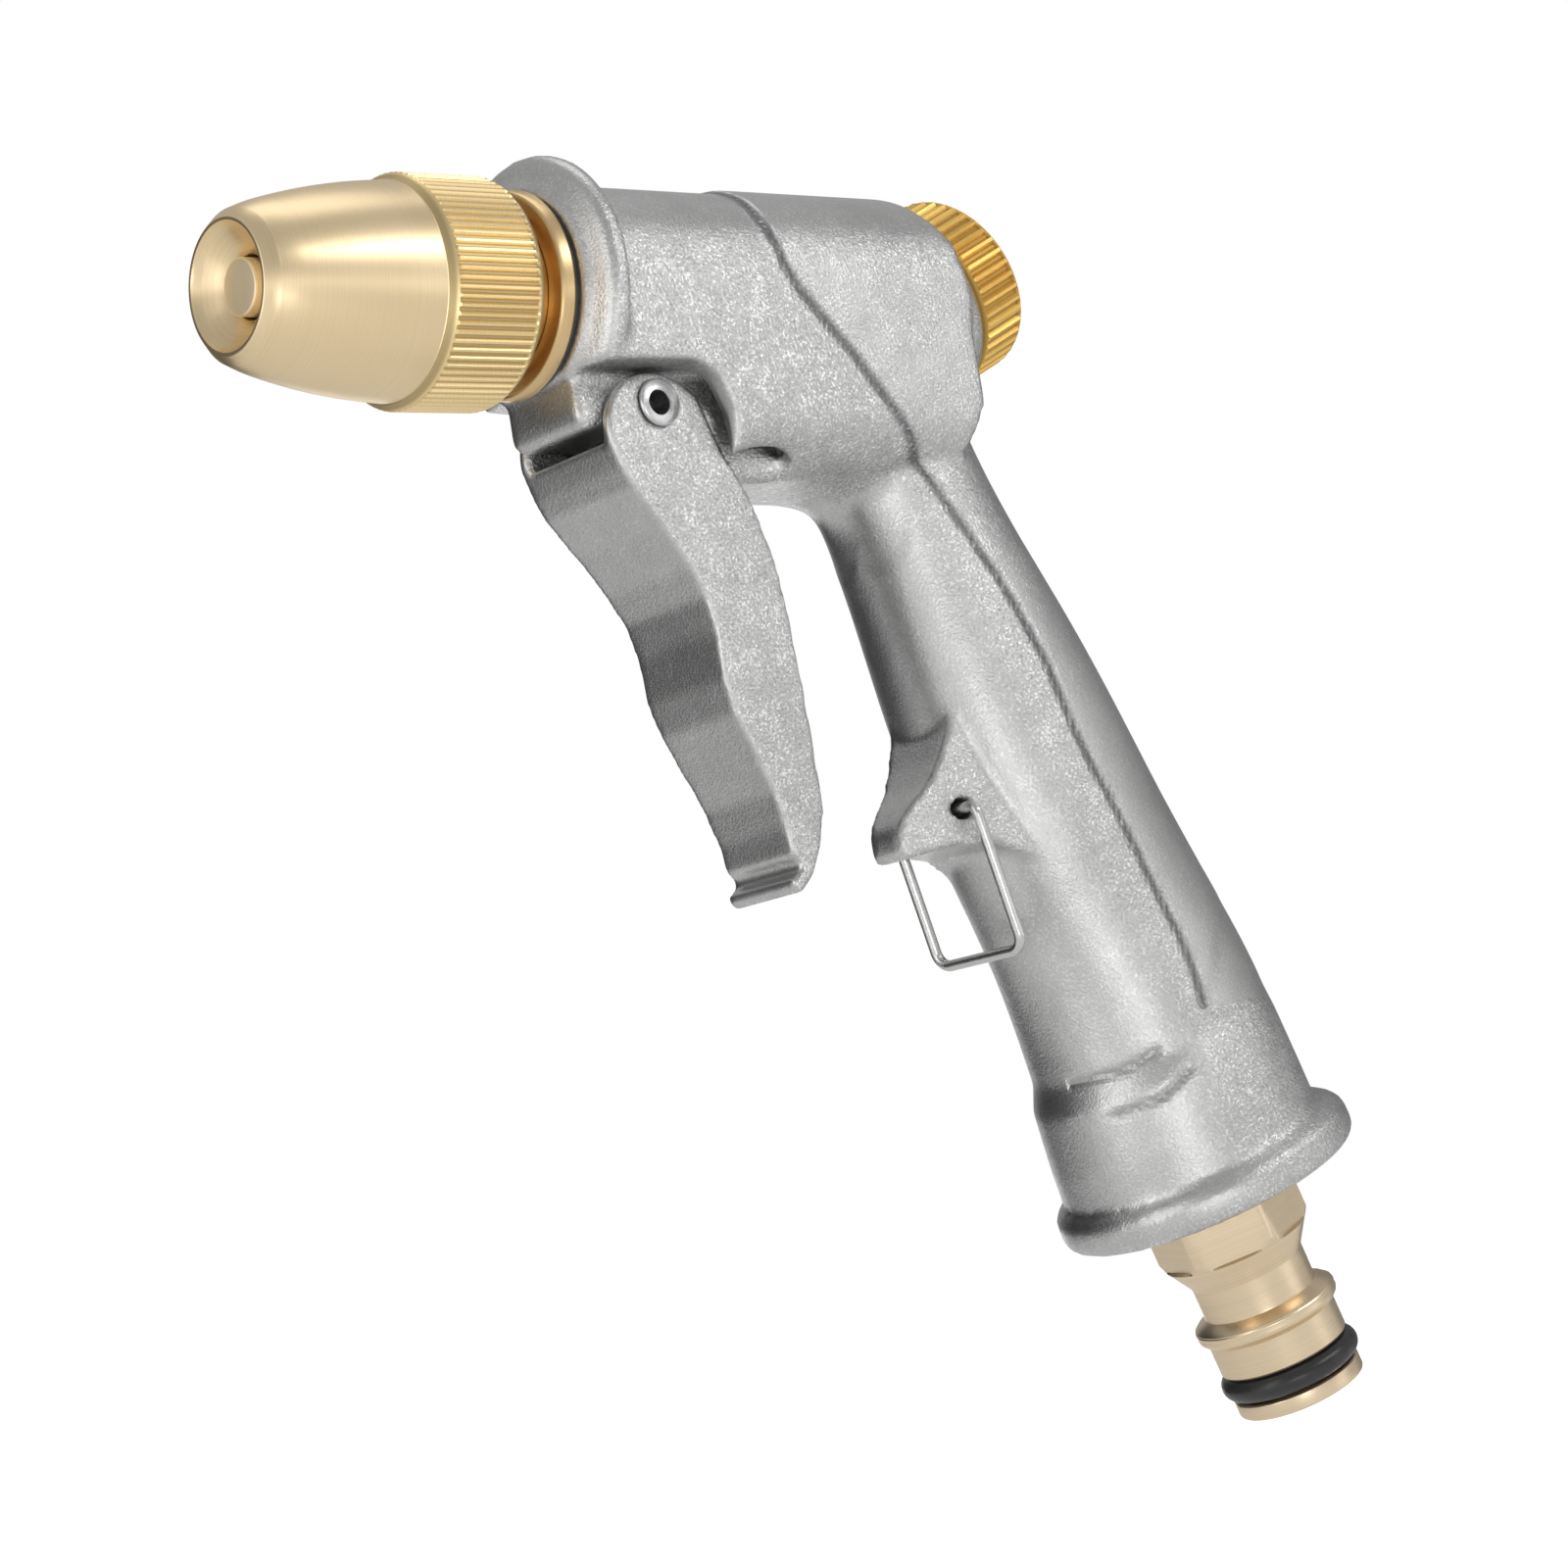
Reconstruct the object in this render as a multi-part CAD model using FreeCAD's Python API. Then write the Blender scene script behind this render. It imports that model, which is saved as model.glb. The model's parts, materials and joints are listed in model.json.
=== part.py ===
"""Hose spray nozzle: die-cast pistol body, twist nozzle head, squeeze trigger, flow knob and hose spigot.

The model is drawn about the barrel axis (+X to the rear, +Z up) and each piece is then moved so that the
origin is the centre of the hose spigot's tip, where a coupler slides on. Sizes are in millimetres.
"""
import FreeCAD, Part
import math
import os

from FreeCAD import Rotation, Vector

# ---- driving dimensions ------------------------------------------------------------------------------
HANDLE_RAKE = 20.35          # handle axis, degrees from vertical
HANDLE_ROOT_X = 33.4         # where the handle axis meets the barrel axis
VALVE_TILT = 24.9            # valve and knob axis, degrees up to the rear
VALVE_ROOT_Z = -22.4         # height of the valve axis below the barrel axis at x = 0
PIVOT_X = 1.1                # trigger pivot
PIVOT_Z = -14.1
BAIL_X = 38.9                # bail pivot in the front lug
BAIL_Z = -60.2
BAIL_HANG = 13.0             # bail at rest, degrees rearward of straight down

BARREL_R = 12.3              # top of the barrel shell
PANEL_RISE = 0.45            # the raised rear panel stands this far above the shell
BARREL_BOTTOM = -22.2
BARREL_CORNER_R = 8.0
# where the raised rear panel starts, as (x, z) seen from the side
PANEL_LINE = (
    (18.0, 14.0), (18.0, 6.5), (19.2, 0.2), (23.0, -4.6), (27.1, -9.2), (31.0, -14.4), (34.4, -18.3),
    (38.2, -23.0), (42.4, -29.8), (45.2, -34.8), (47.3, -39.6), (49.2, -44.4), (51.4, -53.0), (53.5, -58.4),
    (55.6, -63.1), (57.5, -67.8), (59.2, -72.5), (61.0, -77.3), (62.1, -82.0), (62.7, -86.1), (67.0, -78.0),
    (76.0, -70.0),
)
BARREL_FRONT = -9.0          # front face of the casting
BARREL_BACK_S = 53.0         # rear face of the casting, along the valve axis
FRONT_FLANGE_R = 15.45
CEILING_Z = -10.1            # roof of the trigger pocket
POCKET_BACK_X = 9.7
BLOCK_HALF = 6.5             # half width of the web that carries the pivot
SLOT_HALF = 9.0              # outer half width of the slots the trigger cheeks swing in
SLOT_REACH = 18.4            # reach of those slots from the pivot

# handle sections, square to the handle axis: distance, half depth, half width, shift to the rear
GRIP_SECTIONS = (
    (9.0, 10.2, 9.6, 0.0),
    (20.0, 10.4, 9.6, 0.0),
    (32.0, 11.0, 10.1, 0.0),
    (44.0, 12.5, 11.3, 0.0),
    (56.0, 13.5, 12.3, 0.0),
    (68.0, 13.8, 12.8, 0.4),
    (80.0, 14.1, 13.5, 1.1),
    (94.0, 14.9, 14.7, 0.9),
)
CUFF_SECTIONS = (
    (94.0, 14.9, 14.7, 0.9),
    (97.0, 15.6, 15.5, 0.1),
    (104.0, 16.0, 16.0, -0.5),
    (112.0, 16.3, 16.3, -1.0),
)
BASE_FLANGE_R = 18.5
BASE_FLANGE_TOP = 109.0
BASE_END = 114.0             # lower face of the casting along the handle axis

TRIGGER_HALF = 8.6           # outer half width at the cheeks
TRIGGER_TIP_HALF = 6.1       # outer half width at the finger tip
TRIGGER_WALL = 1.7
RIVET_R = 2.0
RIVET_HEAD_R = 2.67
RIVET_HOLE_R = 1.4

BAIL_WIRE_R = 0.65
BAIL_HALF = 7.2
BAIL_LENGTH = 17.2
BAIL_CORNER_R = 1.8
BAIL_HOLE_R = 1.3

KNURL_DEPTH = 0.35
HEAD_R = 12.75               # knurled collar of the nozzle head
HEAD_TEETH = 80
PIN_R = 3.1
TUBE_R = 6.85                # front land of the spray tube
TUBE_THREAD_R = 8.9
WATER_R = 4.0                # water way in the spray tube
KNOB_R = 10.8
KNOB_TEETH = 44
KNOB_SHANK_R = 7.9
KNOB_END_S = 61.2
STEM_R = 1.5
STEM_BORE_R = 1.55
LAND_R = 8.0                 # hose spigot land above the O-ring
TIP_R = 7.95                 # hose spigot tip ring, below the O-ring
TIP_START = 138.8
TIP_END = 140.8
SPIGOT_BORE_R = 4.4
RUN = 0.05                   # radial clearance of a running fit or a modelled thread

# ---- axes --------------------------------------------------------------------------------------------
AXIS_X = Vector(1, 0, 0)
AXIS_Y = Vector(0, 1, 0)
_rake = math.radians(HANDLE_RAKE)
_tilt = math.radians(VALVE_TILT)
HANDLE_DIR = Vector(math.sin(_rake), 0, -math.cos(_rake))
HANDLE_BACK = Vector(math.cos(_rake), 0, math.sin(_rake))
HANDLE_ROOT = Vector(HANDLE_ROOT_X, 0, 0)
VALVE_DIR = Vector(math.cos(_tilt), 0, math.sin(_tilt))
VALVE_ROOT = Vector(0, 0, VALVE_ROOT_Z)
BARREL_ROOT = Vector(0, 0, 0)
ORIGIN = HANDLE_ROOT + HANDLE_DIR * TIP_END


def save(name, shape):
    """Moves a finished piece so that the origin is at the spigot's tip, and writes its STEP file."""
    if not shape.isValid():
        raise ValueError(name + " is not a valid solid")
    piece = shape.copy()
    piece.translate(ORIGIN * -1)
    piece.exportStep("parts/" + name + ".step")
    print("%-20s %9.1f mm3  %d solid(s)" % (name, piece.Volume, len(piece.Solids)))


def turned(profile, root=BARREL_ROOT, direction=AXIS_X):
    """A turned solid: (distance along the axis, radius) points spun about an axis from root."""
    points = [Vector(s, 0, r) for s, r in profile]
    face = Part.Face(Part.makePolygon(points + points[:1]))
    solid = face.revolve(Vector(0, 0, 0), AXIS_X, 360)
    return on_axis(solid, root, direction)


def on_axis(solid, root, direction):
    """Moves a solid drawn along X so that it lies along a direction from root."""
    solid.Placement = FreeCAD.Placement(root, Rotation(AXIS_X, direction)).multiply(solid.Placement)
    return solid


def rod(radius, start, end, root=BARREL_ROOT, direction=AXIS_X):
    """A round bar between two distances along an axis."""
    return Part.makeCylinder(radius, end - start, root + direction * start, direction)


def ring(middle, centre_r, section_r, root=BARREL_ROOT, direction=AXIS_X):
    """An O-ring: its middle along an axis, the radius to its section's centre, and the section's radius."""
    return Part.makeTorus(centre_r, section_r, root + direction * middle, direction)


def cross_bar(radius, half, x, z):
    """A round bar across the piece, along Y, centred on Y = 0."""
    return Part.makeCylinder(radius, 2 * half, Vector(x, -half, z), AXIS_Y)


def side_plate(outline, half):
    """A plate cut from a side outline of (x, z) points, with thickness 2 * half about Y = 0."""
    points = [Vector(x, -half, z) for x, z in outline]
    return Part.Face(Part.makePolygon(points + points[:1])).extrude(Vector(0, 2 * half, 0))


def plan_plate(outline, low, high):
    """A plate cut from a plan outline of (x, y) points, between two heights."""
    points = [Vector(x, y, low) for x, y in outline]
    return Part.Face(Part.makePolygon(points + points[:1])).extrude(Vector(0, 0, high - low))


def toothed_bar(radius, depth, teeth, start, end, root, direction):
    """A bar with straight knurling: a star section pushed along the axis."""
    points = []
    for i in range(2 * teeth):
        angle = math.pi * i / teeth
        r = radius if i % 2 == 0 else radius - depth
        points.append(Vector(start, r * math.cos(angle), r * math.sin(angle)))
    solid = Part.Face(Part.makePolygon(points + points[:1])).extrude(AXIS_X * (end - start))
    return on_axis(solid, root, direction)


# ---- body casting ------------------------------------------------------------------------------------
def barrel_section(rise):
    """The barrel's outline seen from the front: a round top, straight sides and rounded lower corners."""
    r, low, c = BARREL_R + rise, BARREL_BOTTOM, BARREL_CORNER_R
    bend = c * math.sqrt(0.5)
    top = Part.Arc(Vector(0, -r, 0), Vector(0, 0, r), Vector(0, r, 0)).toShape()
    right = Part.makeLine(Vector(0, r, 0), Vector(0, r, low + c))
    right_corner = Part.Arc(
        Vector(0, r, low + c), Vector(0, r - c + bend, low + c - bend), Vector(0, r - c, low)
    ).toShape()
    bottom = Part.makeLine(Vector(0, r - c, low), Vector(0, c - r, low))
    left_corner = Part.Arc(
        Vector(0, c - r, low), Vector(0, c - r - bend, low + c - bend), Vector(0, -r, low + c)
    ).toShape()
    left = Part.makeLine(Vector(0, -r, low + c), Vector(0, -r, 0))
    return Part.Face(Part.Wire([top, right, right_corner, bottom, left_corner, left]))


def barrel_outside(rise):
    """The barrel shell, with its rear end round about the valve axis; rise makes it that much fatter."""
    front = -5.2
    shell = barrel_section(rise).extrude(AXIS_X * 62)
    shell.translate(Vector(front, 0, 0))
    side = side_plate(((front, 14), (46, 14), (46, -14), (42, -24), (front, -24)), 20)
    end, r = BARREL_BACK_S, 12.15 + rise
    rear = turned(((26, 0), (26, r), (end - 2.4, r), (end - 1.2, r - 0.35), (end - 0.4, r - 1.1),
                   (end, r - 2.2), (end, 0)), VALVE_ROOT + Vector(-0.3, 0, 0.7), VALVE_DIR)
    behind = rod(40, BARREL_BACK_S, BARREL_BACK_S + 40, VALVE_ROOT, VALVE_DIR)
    return shell.common(side).cut(behind).fuse(rear)


def oval_loft(sections, rise, ruled):
    """A solid through oval sections square to the handle axis; rise widens it away from its back."""
    wires = []
    for distance, depth, width, shift in sections:
        centre = HANDLE_ROOT + HANDLE_DIR * distance + HANDLE_BACK * (shift - rise)
        points = []
        for i in range(16):
            angle = math.pi * i / 8
            back = HANDLE_BACK * ((depth + rise) * math.cos(angle))
            points.append(centre + back + AXIS_Y * ((width + rise) * math.sin(angle)))
        oval = Part.BSplineCurve()
        oval.interpolate(Points=points, PeriodicFlag=True)
        wires.append(Part.Wire([oval.toShape()]))
    return Part.makeLoft(wires, True, ruled)


def panel_region():
    """Everything behind the line where the rear panel starts, from the barrel's top down the handle."""
    return side_plate(PANEL_LINE + ((80, 30), (PANEL_LINE[0][0], 30)), 30)


def lug_outside():
    """The beak on the front of the handle that stops the trigger and carries the bail."""
    side = side_plate(
        ((30.7, -62.2), (31.3, -60.9), (32.7, -59.2), (35.2, -57.0), (37.0, -54.2), (38.5, -51.0),
         (39.8, -47.0), (50, -47.0), (52, -66.5), (46.5, -66.5), (42.3, -64.7), (38.0, -64.3),
         (31.9, -65.2), (30.9, -64.4)), 10)
    plan = plan_plate(((30, -2.3), (40, -5.8), (49, -8.8), (49, 8.8), (40, 5.8), (30, 2.3)), -80, -40)
    return side.common(plan)


def saddle():
    """The fillet where the front of the grip meets the barrel."""
    return side_plate(((22, -21), (27.2, -22.2), (29.2, -23.0), (30.9, -24.6), (32.0, -26.6), (32.9, -29.4),
                       (40, -30), (40, -21)), 3.2)


def base_flange():
    """The round foot of the handle with its rolled edge."""
    top = BASE_FLANGE_TOP
    profile = ((top - 0.4, 0), (top - 0.4, 16.2), (top, 17.0), (top + 0.5, 17.8),
               (top + 1.3, BASE_FLANGE_R - 0.1),
               (top + 2.2, BASE_FLANGE_R), (BASE_END - 1.2, BASE_FLANGE_R),
               (BASE_END - 0.4, BASE_FLANGE_R - 0.4),
               (BASE_END, BASE_FLANGE_R - 1.2), (BASE_END, 0))
    return turned(profile, HANDLE_ROOT, HANDLE_DIR)


def front_flange():
    """The arched rim behind the nozzle head, flaring from the casting's front boss."""
    r = FRONT_FLANGE_R
    profile = ((BARREL_FRONT, 0), (BARREL_FRONT, 11.9), (-8.6, 12.1), (-8.2, 12.7), (-7.8, 13.8),
               (-7.4, r - 0.7),
               (-6.9, r - 0.1), (-6.5, r), (-5.6, r), (-5.1, r - 0.3), (-4.8, r - 0.9), (-4.8, 0))
    return turned(profile)


def pivot_block():
    """The web under the barrel that carries the trigger's rivet."""
    outline = ((-8.2, -4), (-8.2, -15.2), (-7.2, -16.3), (4.6, -16.3), (8.2, -14.6), (9.0, -12.6), (9.6, -4))
    return side_plate(outline, BLOCK_HALF)


def pocket():
    """Room for the trigger: open at the front and below, and slots for its cheeks behind."""
    back = POCKET_BACK_X
    low = -60
    opening = side_plate(
        ((-20, CEILING_Z), (back - 4.6, CEILING_Z), (back - 2.0, CEILING_Z - 1.7),
        (back - 0.5, CEILING_Z - 5.2),
         (back, CEILING_Z - 8.4), (back - 0.6, CEILING_Z - 11.3), (back - 1.6, low), (-20, low)), 20)
    sweep = cross_bar(SLOT_REACH, SLOT_HALF, PIVOT_X, PIVOT_Z)
    core = cross_bar(SLOT_REACH + 1, BLOCK_HALF, PIVOT_X, PIVOT_Z)
    below = side_plate(((-20, CEILING_Z), (40, CEILING_Z), (40, low), (-20, low)), 20)
    slots = sweep.cut(core).common(below)
    return opening.fuse(slots)


def water_ways():
    """Every bore inside the casting."""
    barrel_bore = rod(7.5, -1.0, 27.0)
    tube_socket = rod(TUBE_THREAD_R + RUN, BARREL_FRONT - 1, 2.0)
    riser = Part.makeCylinder(3.6, 13.5, Vector(20.4, 0, -13.5), Vector(0, 0, 1))
    gland = rod(4.2, 6.0, 16.5, VALVE_ROOT, VALVE_DIR)
    packing = rod(3.5, 16.0, 18.6, VALVE_ROOT, VALVE_DIR)
    stem_way = rod(1.8, 18.0, 21.0, VALVE_ROOT, VALVE_DIR)
    outlet_chamber = rod(4.5, 20.0, 28.0, VALVE_ROOT, VALVE_DIR)
    seat_bore = rod(6.25, 27.0, 30.0, VALVE_ROOT, VALVE_DIR)
    inlet_chamber = rod(7.2, 29.5, 44.0, VALVE_ROOT, VALVE_DIR)
    knob_socket = rod(KNOB_SHANK_R + RUN + 0.05, 42.0, BARREL_BACK_S + 5, VALVE_ROOT, VALVE_DIR)
    feed = turned(((10, 0), (10, 4.5), (18, 6.2), (44, 8.3), (68, 9.8), (96, 10.8), (98.5, 8.3), (98.5, 0)),
                  HANDLE_ROOT, HANDLE_DIR)
    spigot_socket = rod(8.3, 98.0, BASE_END + 1, HANDLE_ROOT, HANDLE_DIR)
    bores = [tube_socket, riser, gland, packing, stem_way, outlet_chamber, seat_bore, inlet_chamber,
             knob_socket, feed, spigot_socket]
    return barrel_bore.multiFuse(bores)


def casting():
    """The whole die-cast body in one piece."""
    shell = barrel_outside(0).fuse(oval_loft(GRIP_SECTIONS, 0, False)).fuse(lug_outside())
    raised = barrel_outside(PANEL_RISE).fuse(oval_loft(GRIP_SECTIONS, 0.3, False))
    shell = shell.fuse(raised.common(panel_region())).fuse(oval_loft(CUFF_SECTIONS, 0, True))
    shell = shell.fuse(saddle())
    body = shell.fuse(front_flange()).cut(pocket())
    body = body.fuse(pivot_block()).fuse(base_flange())
    body = body.cut(water_ways())
    body = body.cut(cross_bar(RIVET_R + RUN, 20, PIVOT_X, PIVOT_Z))
    body = body.cut(cross_bar(BAIL_HOLE_R, 20, BAIL_X, BAIL_Z))
    return body


# ---- nozzle group ------------------------------------------------------------------------------------
def nozzle_head():
    """The twist sleeve: a bullet nose with a conical mouth and a knurled collar."""
    nose = turned((
        (-46.5, 6.7), (-46.35, 7.3), (-45.3, 8.3), (-42.5, 9.3), (-37.3, 10.55), (-32.1, 11.4),
        (-26.7, 11.85), (-20.0, 11.85), (-20.0, 0), (-46.5, 0)))
    collar = toothed_bar(HEAD_R, KNURL_DEPTH, HEAD_TEETH, -26.7, -14.35, BARREL_ROOT, AXIS_X)
    ends = turned(((-26.7, 0), (-26.7, 11.9), (-25.7, HEAD_R), (-15.2, HEAD_R), (-14.35, 12.1), (-14.35, 0)))
    inside = turned((
        (-47.5, 7.8), (-43.3, 3.45), (-41.6, 3.45), (-38.6, TUBE_R + 0.15), (-28.4, TUBE_R + 0.15),
        (-28.4, 8.55), (-26.3, 8.55), (-26.3, TUBE_R + 0.15), (-24.6, TUBE_R + 0.15),
        (-24.2, TUBE_THREAD_R + RUN), (-13.0, TUBE_THREAD_R + RUN), (-13.0, 0), (-48.0, 0)))
    return nose.fuse(collar.common(ends)).cut(inside)


def spray_tube():
    """The threaded tube that the head runs on, screwed into the casting."""
    outside = turned((
        (-31.5, 0), (-31.5, TUBE_R - 0.4), (-31.1, TUBE_R), (-21.2, TUBE_R), (-20.6, TUBE_THREAD_R),
        (-13.2, TUBE_THREAD_R), (-13.2, 8.3), (-12.2, 8.3), (-12.2, TUBE_THREAD_R), (1.8, TUBE_THREAD_R),
        (1.8, 0)))
    inside = turned(((-32, 0), (-32, 5.4), (-29.4, 5.4), (-29.4, WATER_R), (3, WATER_R), (3, 0)))
    return outside.cut(inside)


def centre_pin():
    """The fixed pin in the mouth, on a spider hub with water holes."""
    pin = turned((
        (-44.8, 0), (-44.8, PIN_R - 0.3), (-44.5, PIN_R), (-41.9, PIN_R), (-40.0, 1.7), (-34.0, 1.7),
        (-33.0, 5.35), (-29.5, 5.35), (-29.5, 0)))
    holes = []
    for i in range(4):
        angle = math.radians(45 + 90 * i)
        centre = Vector(-36, 3.6 * math.cos(angle), 3.6 * math.sin(angle))
        holes.append(Part.makeCylinder(1.25, 9, centre, AXIS_X))
    return pin.cut(holes[0].multiFuse(holes[1:]))


def gland_ring():
    """The brass lock ring between the head and the casting."""
    return turned((
        (-11.5, TUBE_THREAD_R + RUN), (-11.5, 10.9), (-10.9, 11.55), (-9.9, 11.55), (-9.5, 11.2),
        (-9.5, TUBE_THREAD_R + RUN)))


def front_gasket():
    """The thin rubber washer under the lock ring."""
    return turned(((-9.5, TUBE_THREAD_R + RUN), (-9.5, 11.1), (-9.0, 11.1), (-9.0, TUBE_THREAD_R + RUN)))


# ---- trigger -----------------------------------------------------------------------------------------
# Side outline of the lever: the finger face from the top down, then the back edge from the tip up.
FINGER_FACE = (
    (-5.9, -18.0), (-4.9, -20.9), (-3.7, -23.3), (-0.3, -27.7), (2.8, -32.2), (4.6, -35.6), (5.5, -39.5),
    (5.6, -44.5), (6.6, -48.3), (8.7, -52.8), (10.7, -57.3), (11.9, -61.5), (12.2, -64.3),
    (13.3, -65.2), (13.0, -66.2), (11.7, -66.8), (11.8, -67.8), (12.7, -68.6),
)
BACK_EDGE = (
    (14.5, -67.0), (16.3, -63.6), (17.2, -60.2), (17.3, -57.0), (17.0, -51.0), (16.3, -43.0), (15.6, -36.0),
    (14.5, -30.5), (12.1, -24.2), (9.3, -19.2),
)
CAM_R = 1.8                  # rounded nose that pushes the valve stem
CAM_DROP = 7.05              # distance of the valve axis from the pivot


def cam_centre():
    """The foot of the perpendicular from the pivot to the valve axis."""
    return Vector(PIVOT_X, 0, PIVOT_Z) + Vector(math.sin(_tilt), 0, -math.cos(_tilt)) * CAM_DROP


def trigger_lever():
    """A channel-section lever: two cheeks on the pivot, a finger face, a hooked tip and a cam web."""
    top = ((7.9, -15.4), (6.9, -13.0), (4.7, -11.4), (2.9, -10.75), (1.2, -10.5), (-0.6, -10.65),
           (-2.7, -11.4), (-4.5, -12.8), (-5.8, -15.0), (-6.1, -17.0))
    outer_side = side_plate(FINGER_FACE + BACK_EDGE + top, TRIGGER_HALF)
    front_view = [Vector(-30, y, z) for y, z in (
        (-TRIGGER_HALF, 0), (-TRIGGER_HALF, -22), (-TRIGGER_TIP_HALF, -67), (-TRIGGER_TIP_HALF, -80),
        (TRIGGER_TIP_HALF, -80), (TRIGGER_TIP_HALF, -67), (TRIGGER_HALF, -22), (TRIGGER_HALF, 0))]
    envelope = Part.Face(Part.makePolygon(front_view + front_view[:1])).extrude(AXIS_X * 60)
    outer = outer_side.common(envelope)

    wall = TRIGGER_WALL
    hollow_view = [Vector(-30, y, z) for y, z in (
        (wall - TRIGGER_HALF, 0), (wall - TRIGGER_HALF, -22), (wall - TRIGGER_TIP_HALF, -67),
        (wall - TRIGGER_TIP_HALF, -80), (TRIGGER_TIP_HALF - wall, -80), (TRIGGER_TIP_HALF - wall, -67),
        (TRIGGER_HALF - wall, -22), (TRIGGER_HALF - wall, 0))]
    hollow_width = Part.Face(Part.makePolygon(hollow_view + hollow_view[:1])).extrude(AXIS_X * 60)
    web = 2.0
    face_inside = [(x + web, z) for x, z in FINGER_FACE[1:12]]
    behind = [(14.4, -63.6), (30, -63.6), (30, 0), (-12, 0)]
    hollow_side = side_plate([(-12, -17.9), (-4.0, -17.9)] + face_inside + behind, 20)
    lever = outer.cut(hollow_side.common(hollow_width))

    centre = cam_centre()
    nose = cross_bar(CAM_R, TRIGGER_HALF - 0.5, centre.x, centre.z)
    rib = side_plate(((-4.5, centre.z + 1.2), (centre.x, centre.z + CAM_R), (centre.x, centre.z - CAM_R),
                      (-3.2, centre.z - 2.4)), TRIGGER_HALF - 0.5)
    lever = lever.fuse(nose.fuse(rib))
    return lever.cut(cross_bar(RIVET_R + 0.08, 20, PIVOT_X, PIVOT_Z))


def pivot_rivet():
    """The hollow rivet that the trigger swings on, with a rolled head at each end."""
    reach = TRIGGER_HALF + 0.1
    shank = cross_bar(RIVET_R, reach + 0.6, PIVOT_X, PIVOT_Z)
    heads = cross_bar(RIVET_HEAD_R, reach + 0.6, PIVOT_X, PIVOT_Z).cut(
        cross_bar(RIVET_HEAD_R + 1, reach, PIVOT_X, PIVOT_Z))
    return shank.fuse(heads).cut(cross_bar(RIVET_HOLE_R, 20, PIVOT_X, PIVOT_Z))


def wire_bail():
    """The wire loop that hooks over the squeezed trigger, its two ends turned into the lug."""
    down = Vector(math.sin(math.radians(BAIL_HANG)), 0, -math.cos(math.radians(BAIL_HANG)))
    pivot = Vector(BAIL_X, 0, BAIL_Z)
    corners = [pivot + AXIS_Y * -3.6, pivot + AXIS_Y * -BAIL_HALF,
               pivot + AXIS_Y * -BAIL_HALF + down * BAIL_LENGTH,
               pivot + AXIS_Y * BAIL_HALF + down * BAIL_LENGTH,
               pivot + AXIS_Y * BAIL_HALF, pivot + AXIS_Y * 3.6]
    radii = [0, 1.1, BAIL_CORNER_R, BAIL_CORNER_R, 1.1, 0]
    edges = []
    at = corners[0]
    for i in range(1, len(corners) - 1):
        before = (corners[i - 1] - corners[i]).normalize()
        after = (corners[i + 1] - corners[i]).normalize()
        start = corners[i] + before * radii[i]
        end = corners[i] + after * radii[i]
        centre = corners[i] + (before + after) * radii[i]
        middle = centre + (corners[i] - centre).normalize() * radii[i]
        edges.append(Part.makeLine(at, start))
        edges.append(Part.Arc(start, middle, end).toShape())
        at = end
    edges.append(Part.makeLine(at, corners[-1]))
    path = Part.Wire(edges)
    section = Part.Wire([Part.makeCircle(BAIL_WIRE_R, corners[0], AXIS_Y)])
    return path.makePipeShell([section], True, False)


# ---- valve -------------------------------------------------------------------------------------------
def on_valve(profile):
    """A turned piece on the valve axis."""
    return turned(profile, VALVE_ROOT, VALVE_DIR)


def valve_stem():
    """The push rod from the trigger's cam to the plug, with a rounded button and a turned-down tail."""
    return on_valve(((6.45, 0), (6.45, 0.9), (7.0, STEM_R), (36.9, STEM_R), (37.4, 1.1), (37.4, 0)))


def stem_bushing():
    """The brass gland that guides the stem, screwed in from the trigger pocket."""
    return on_valve(((11.6, STEM_BORE_R), (11.6, 3.4), (12.0, 4.15), (16.4, 4.15), (16.4, STEM_BORE_R)))


def valve_seat():
    """The brass seat ring with its raised lip."""
    return on_valve(((27.05, 3.4), (27.05, 6.2), (29.5, 6.2), (29.5, 4.6), (30.1, 4.1), (30.1, 3.4)))


def valve_washer():
    """The rubber face of the plug."""
    return on_valve(((30.2, STEM_R + RUN), (30.2, 5.1), (31.9, 5.1), (31.9, STEM_R + RUN)))


def valve_plug():
    """The brass cup behind the washer that the spring pushes on."""
    return on_valve(((31.95, STEM_R + RUN), (31.95, 5.5), (33.1, 5.5), (33.1, 3.2), (34.4, 3.2),
                     (34.4, STEM_R + RUN)))


def stem_nut():
    """The small hexagon nut that clamps the plug and washer on the stem."""
    outline = [Vector(34.45, 2.75 * math.cos(math.radians(60 * i)), 2.75 * math.sin(math.radians(60 * i)))
               for i in range(6)]
    nut = Part.Face(Part.makePolygon(outline + outline[:1])).extrude(AXIS_X * 2.2)
    return on_axis(nut.cut(rod(STEM_R + RUN, 30, 40)), VALVE_ROOT, VALVE_DIR)


def valve_spring():
    """The coil spring between the plug and the knob, with its ends standing on both."""
    wire_r = 0.45
    coil_r = 4.2
    start = 33.15 + wire_r
    length = 16.1
    helix = Part.makeHelix(length / 6.0, length, coil_r)
    section = Part.Wire([Part.makeCircle(wire_r, Vector(coil_r, 0, 0), AXIS_Y)])
    coil = Part.Wire(helix.Edges).makePipeShell([section], True, True)
    coil.Placement = FreeCAD.Placement(VALVE_ROOT + VALVE_DIR * start, Rotation(Vector(0, 0, 1), VALVE_DIR))
    return coil


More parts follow.
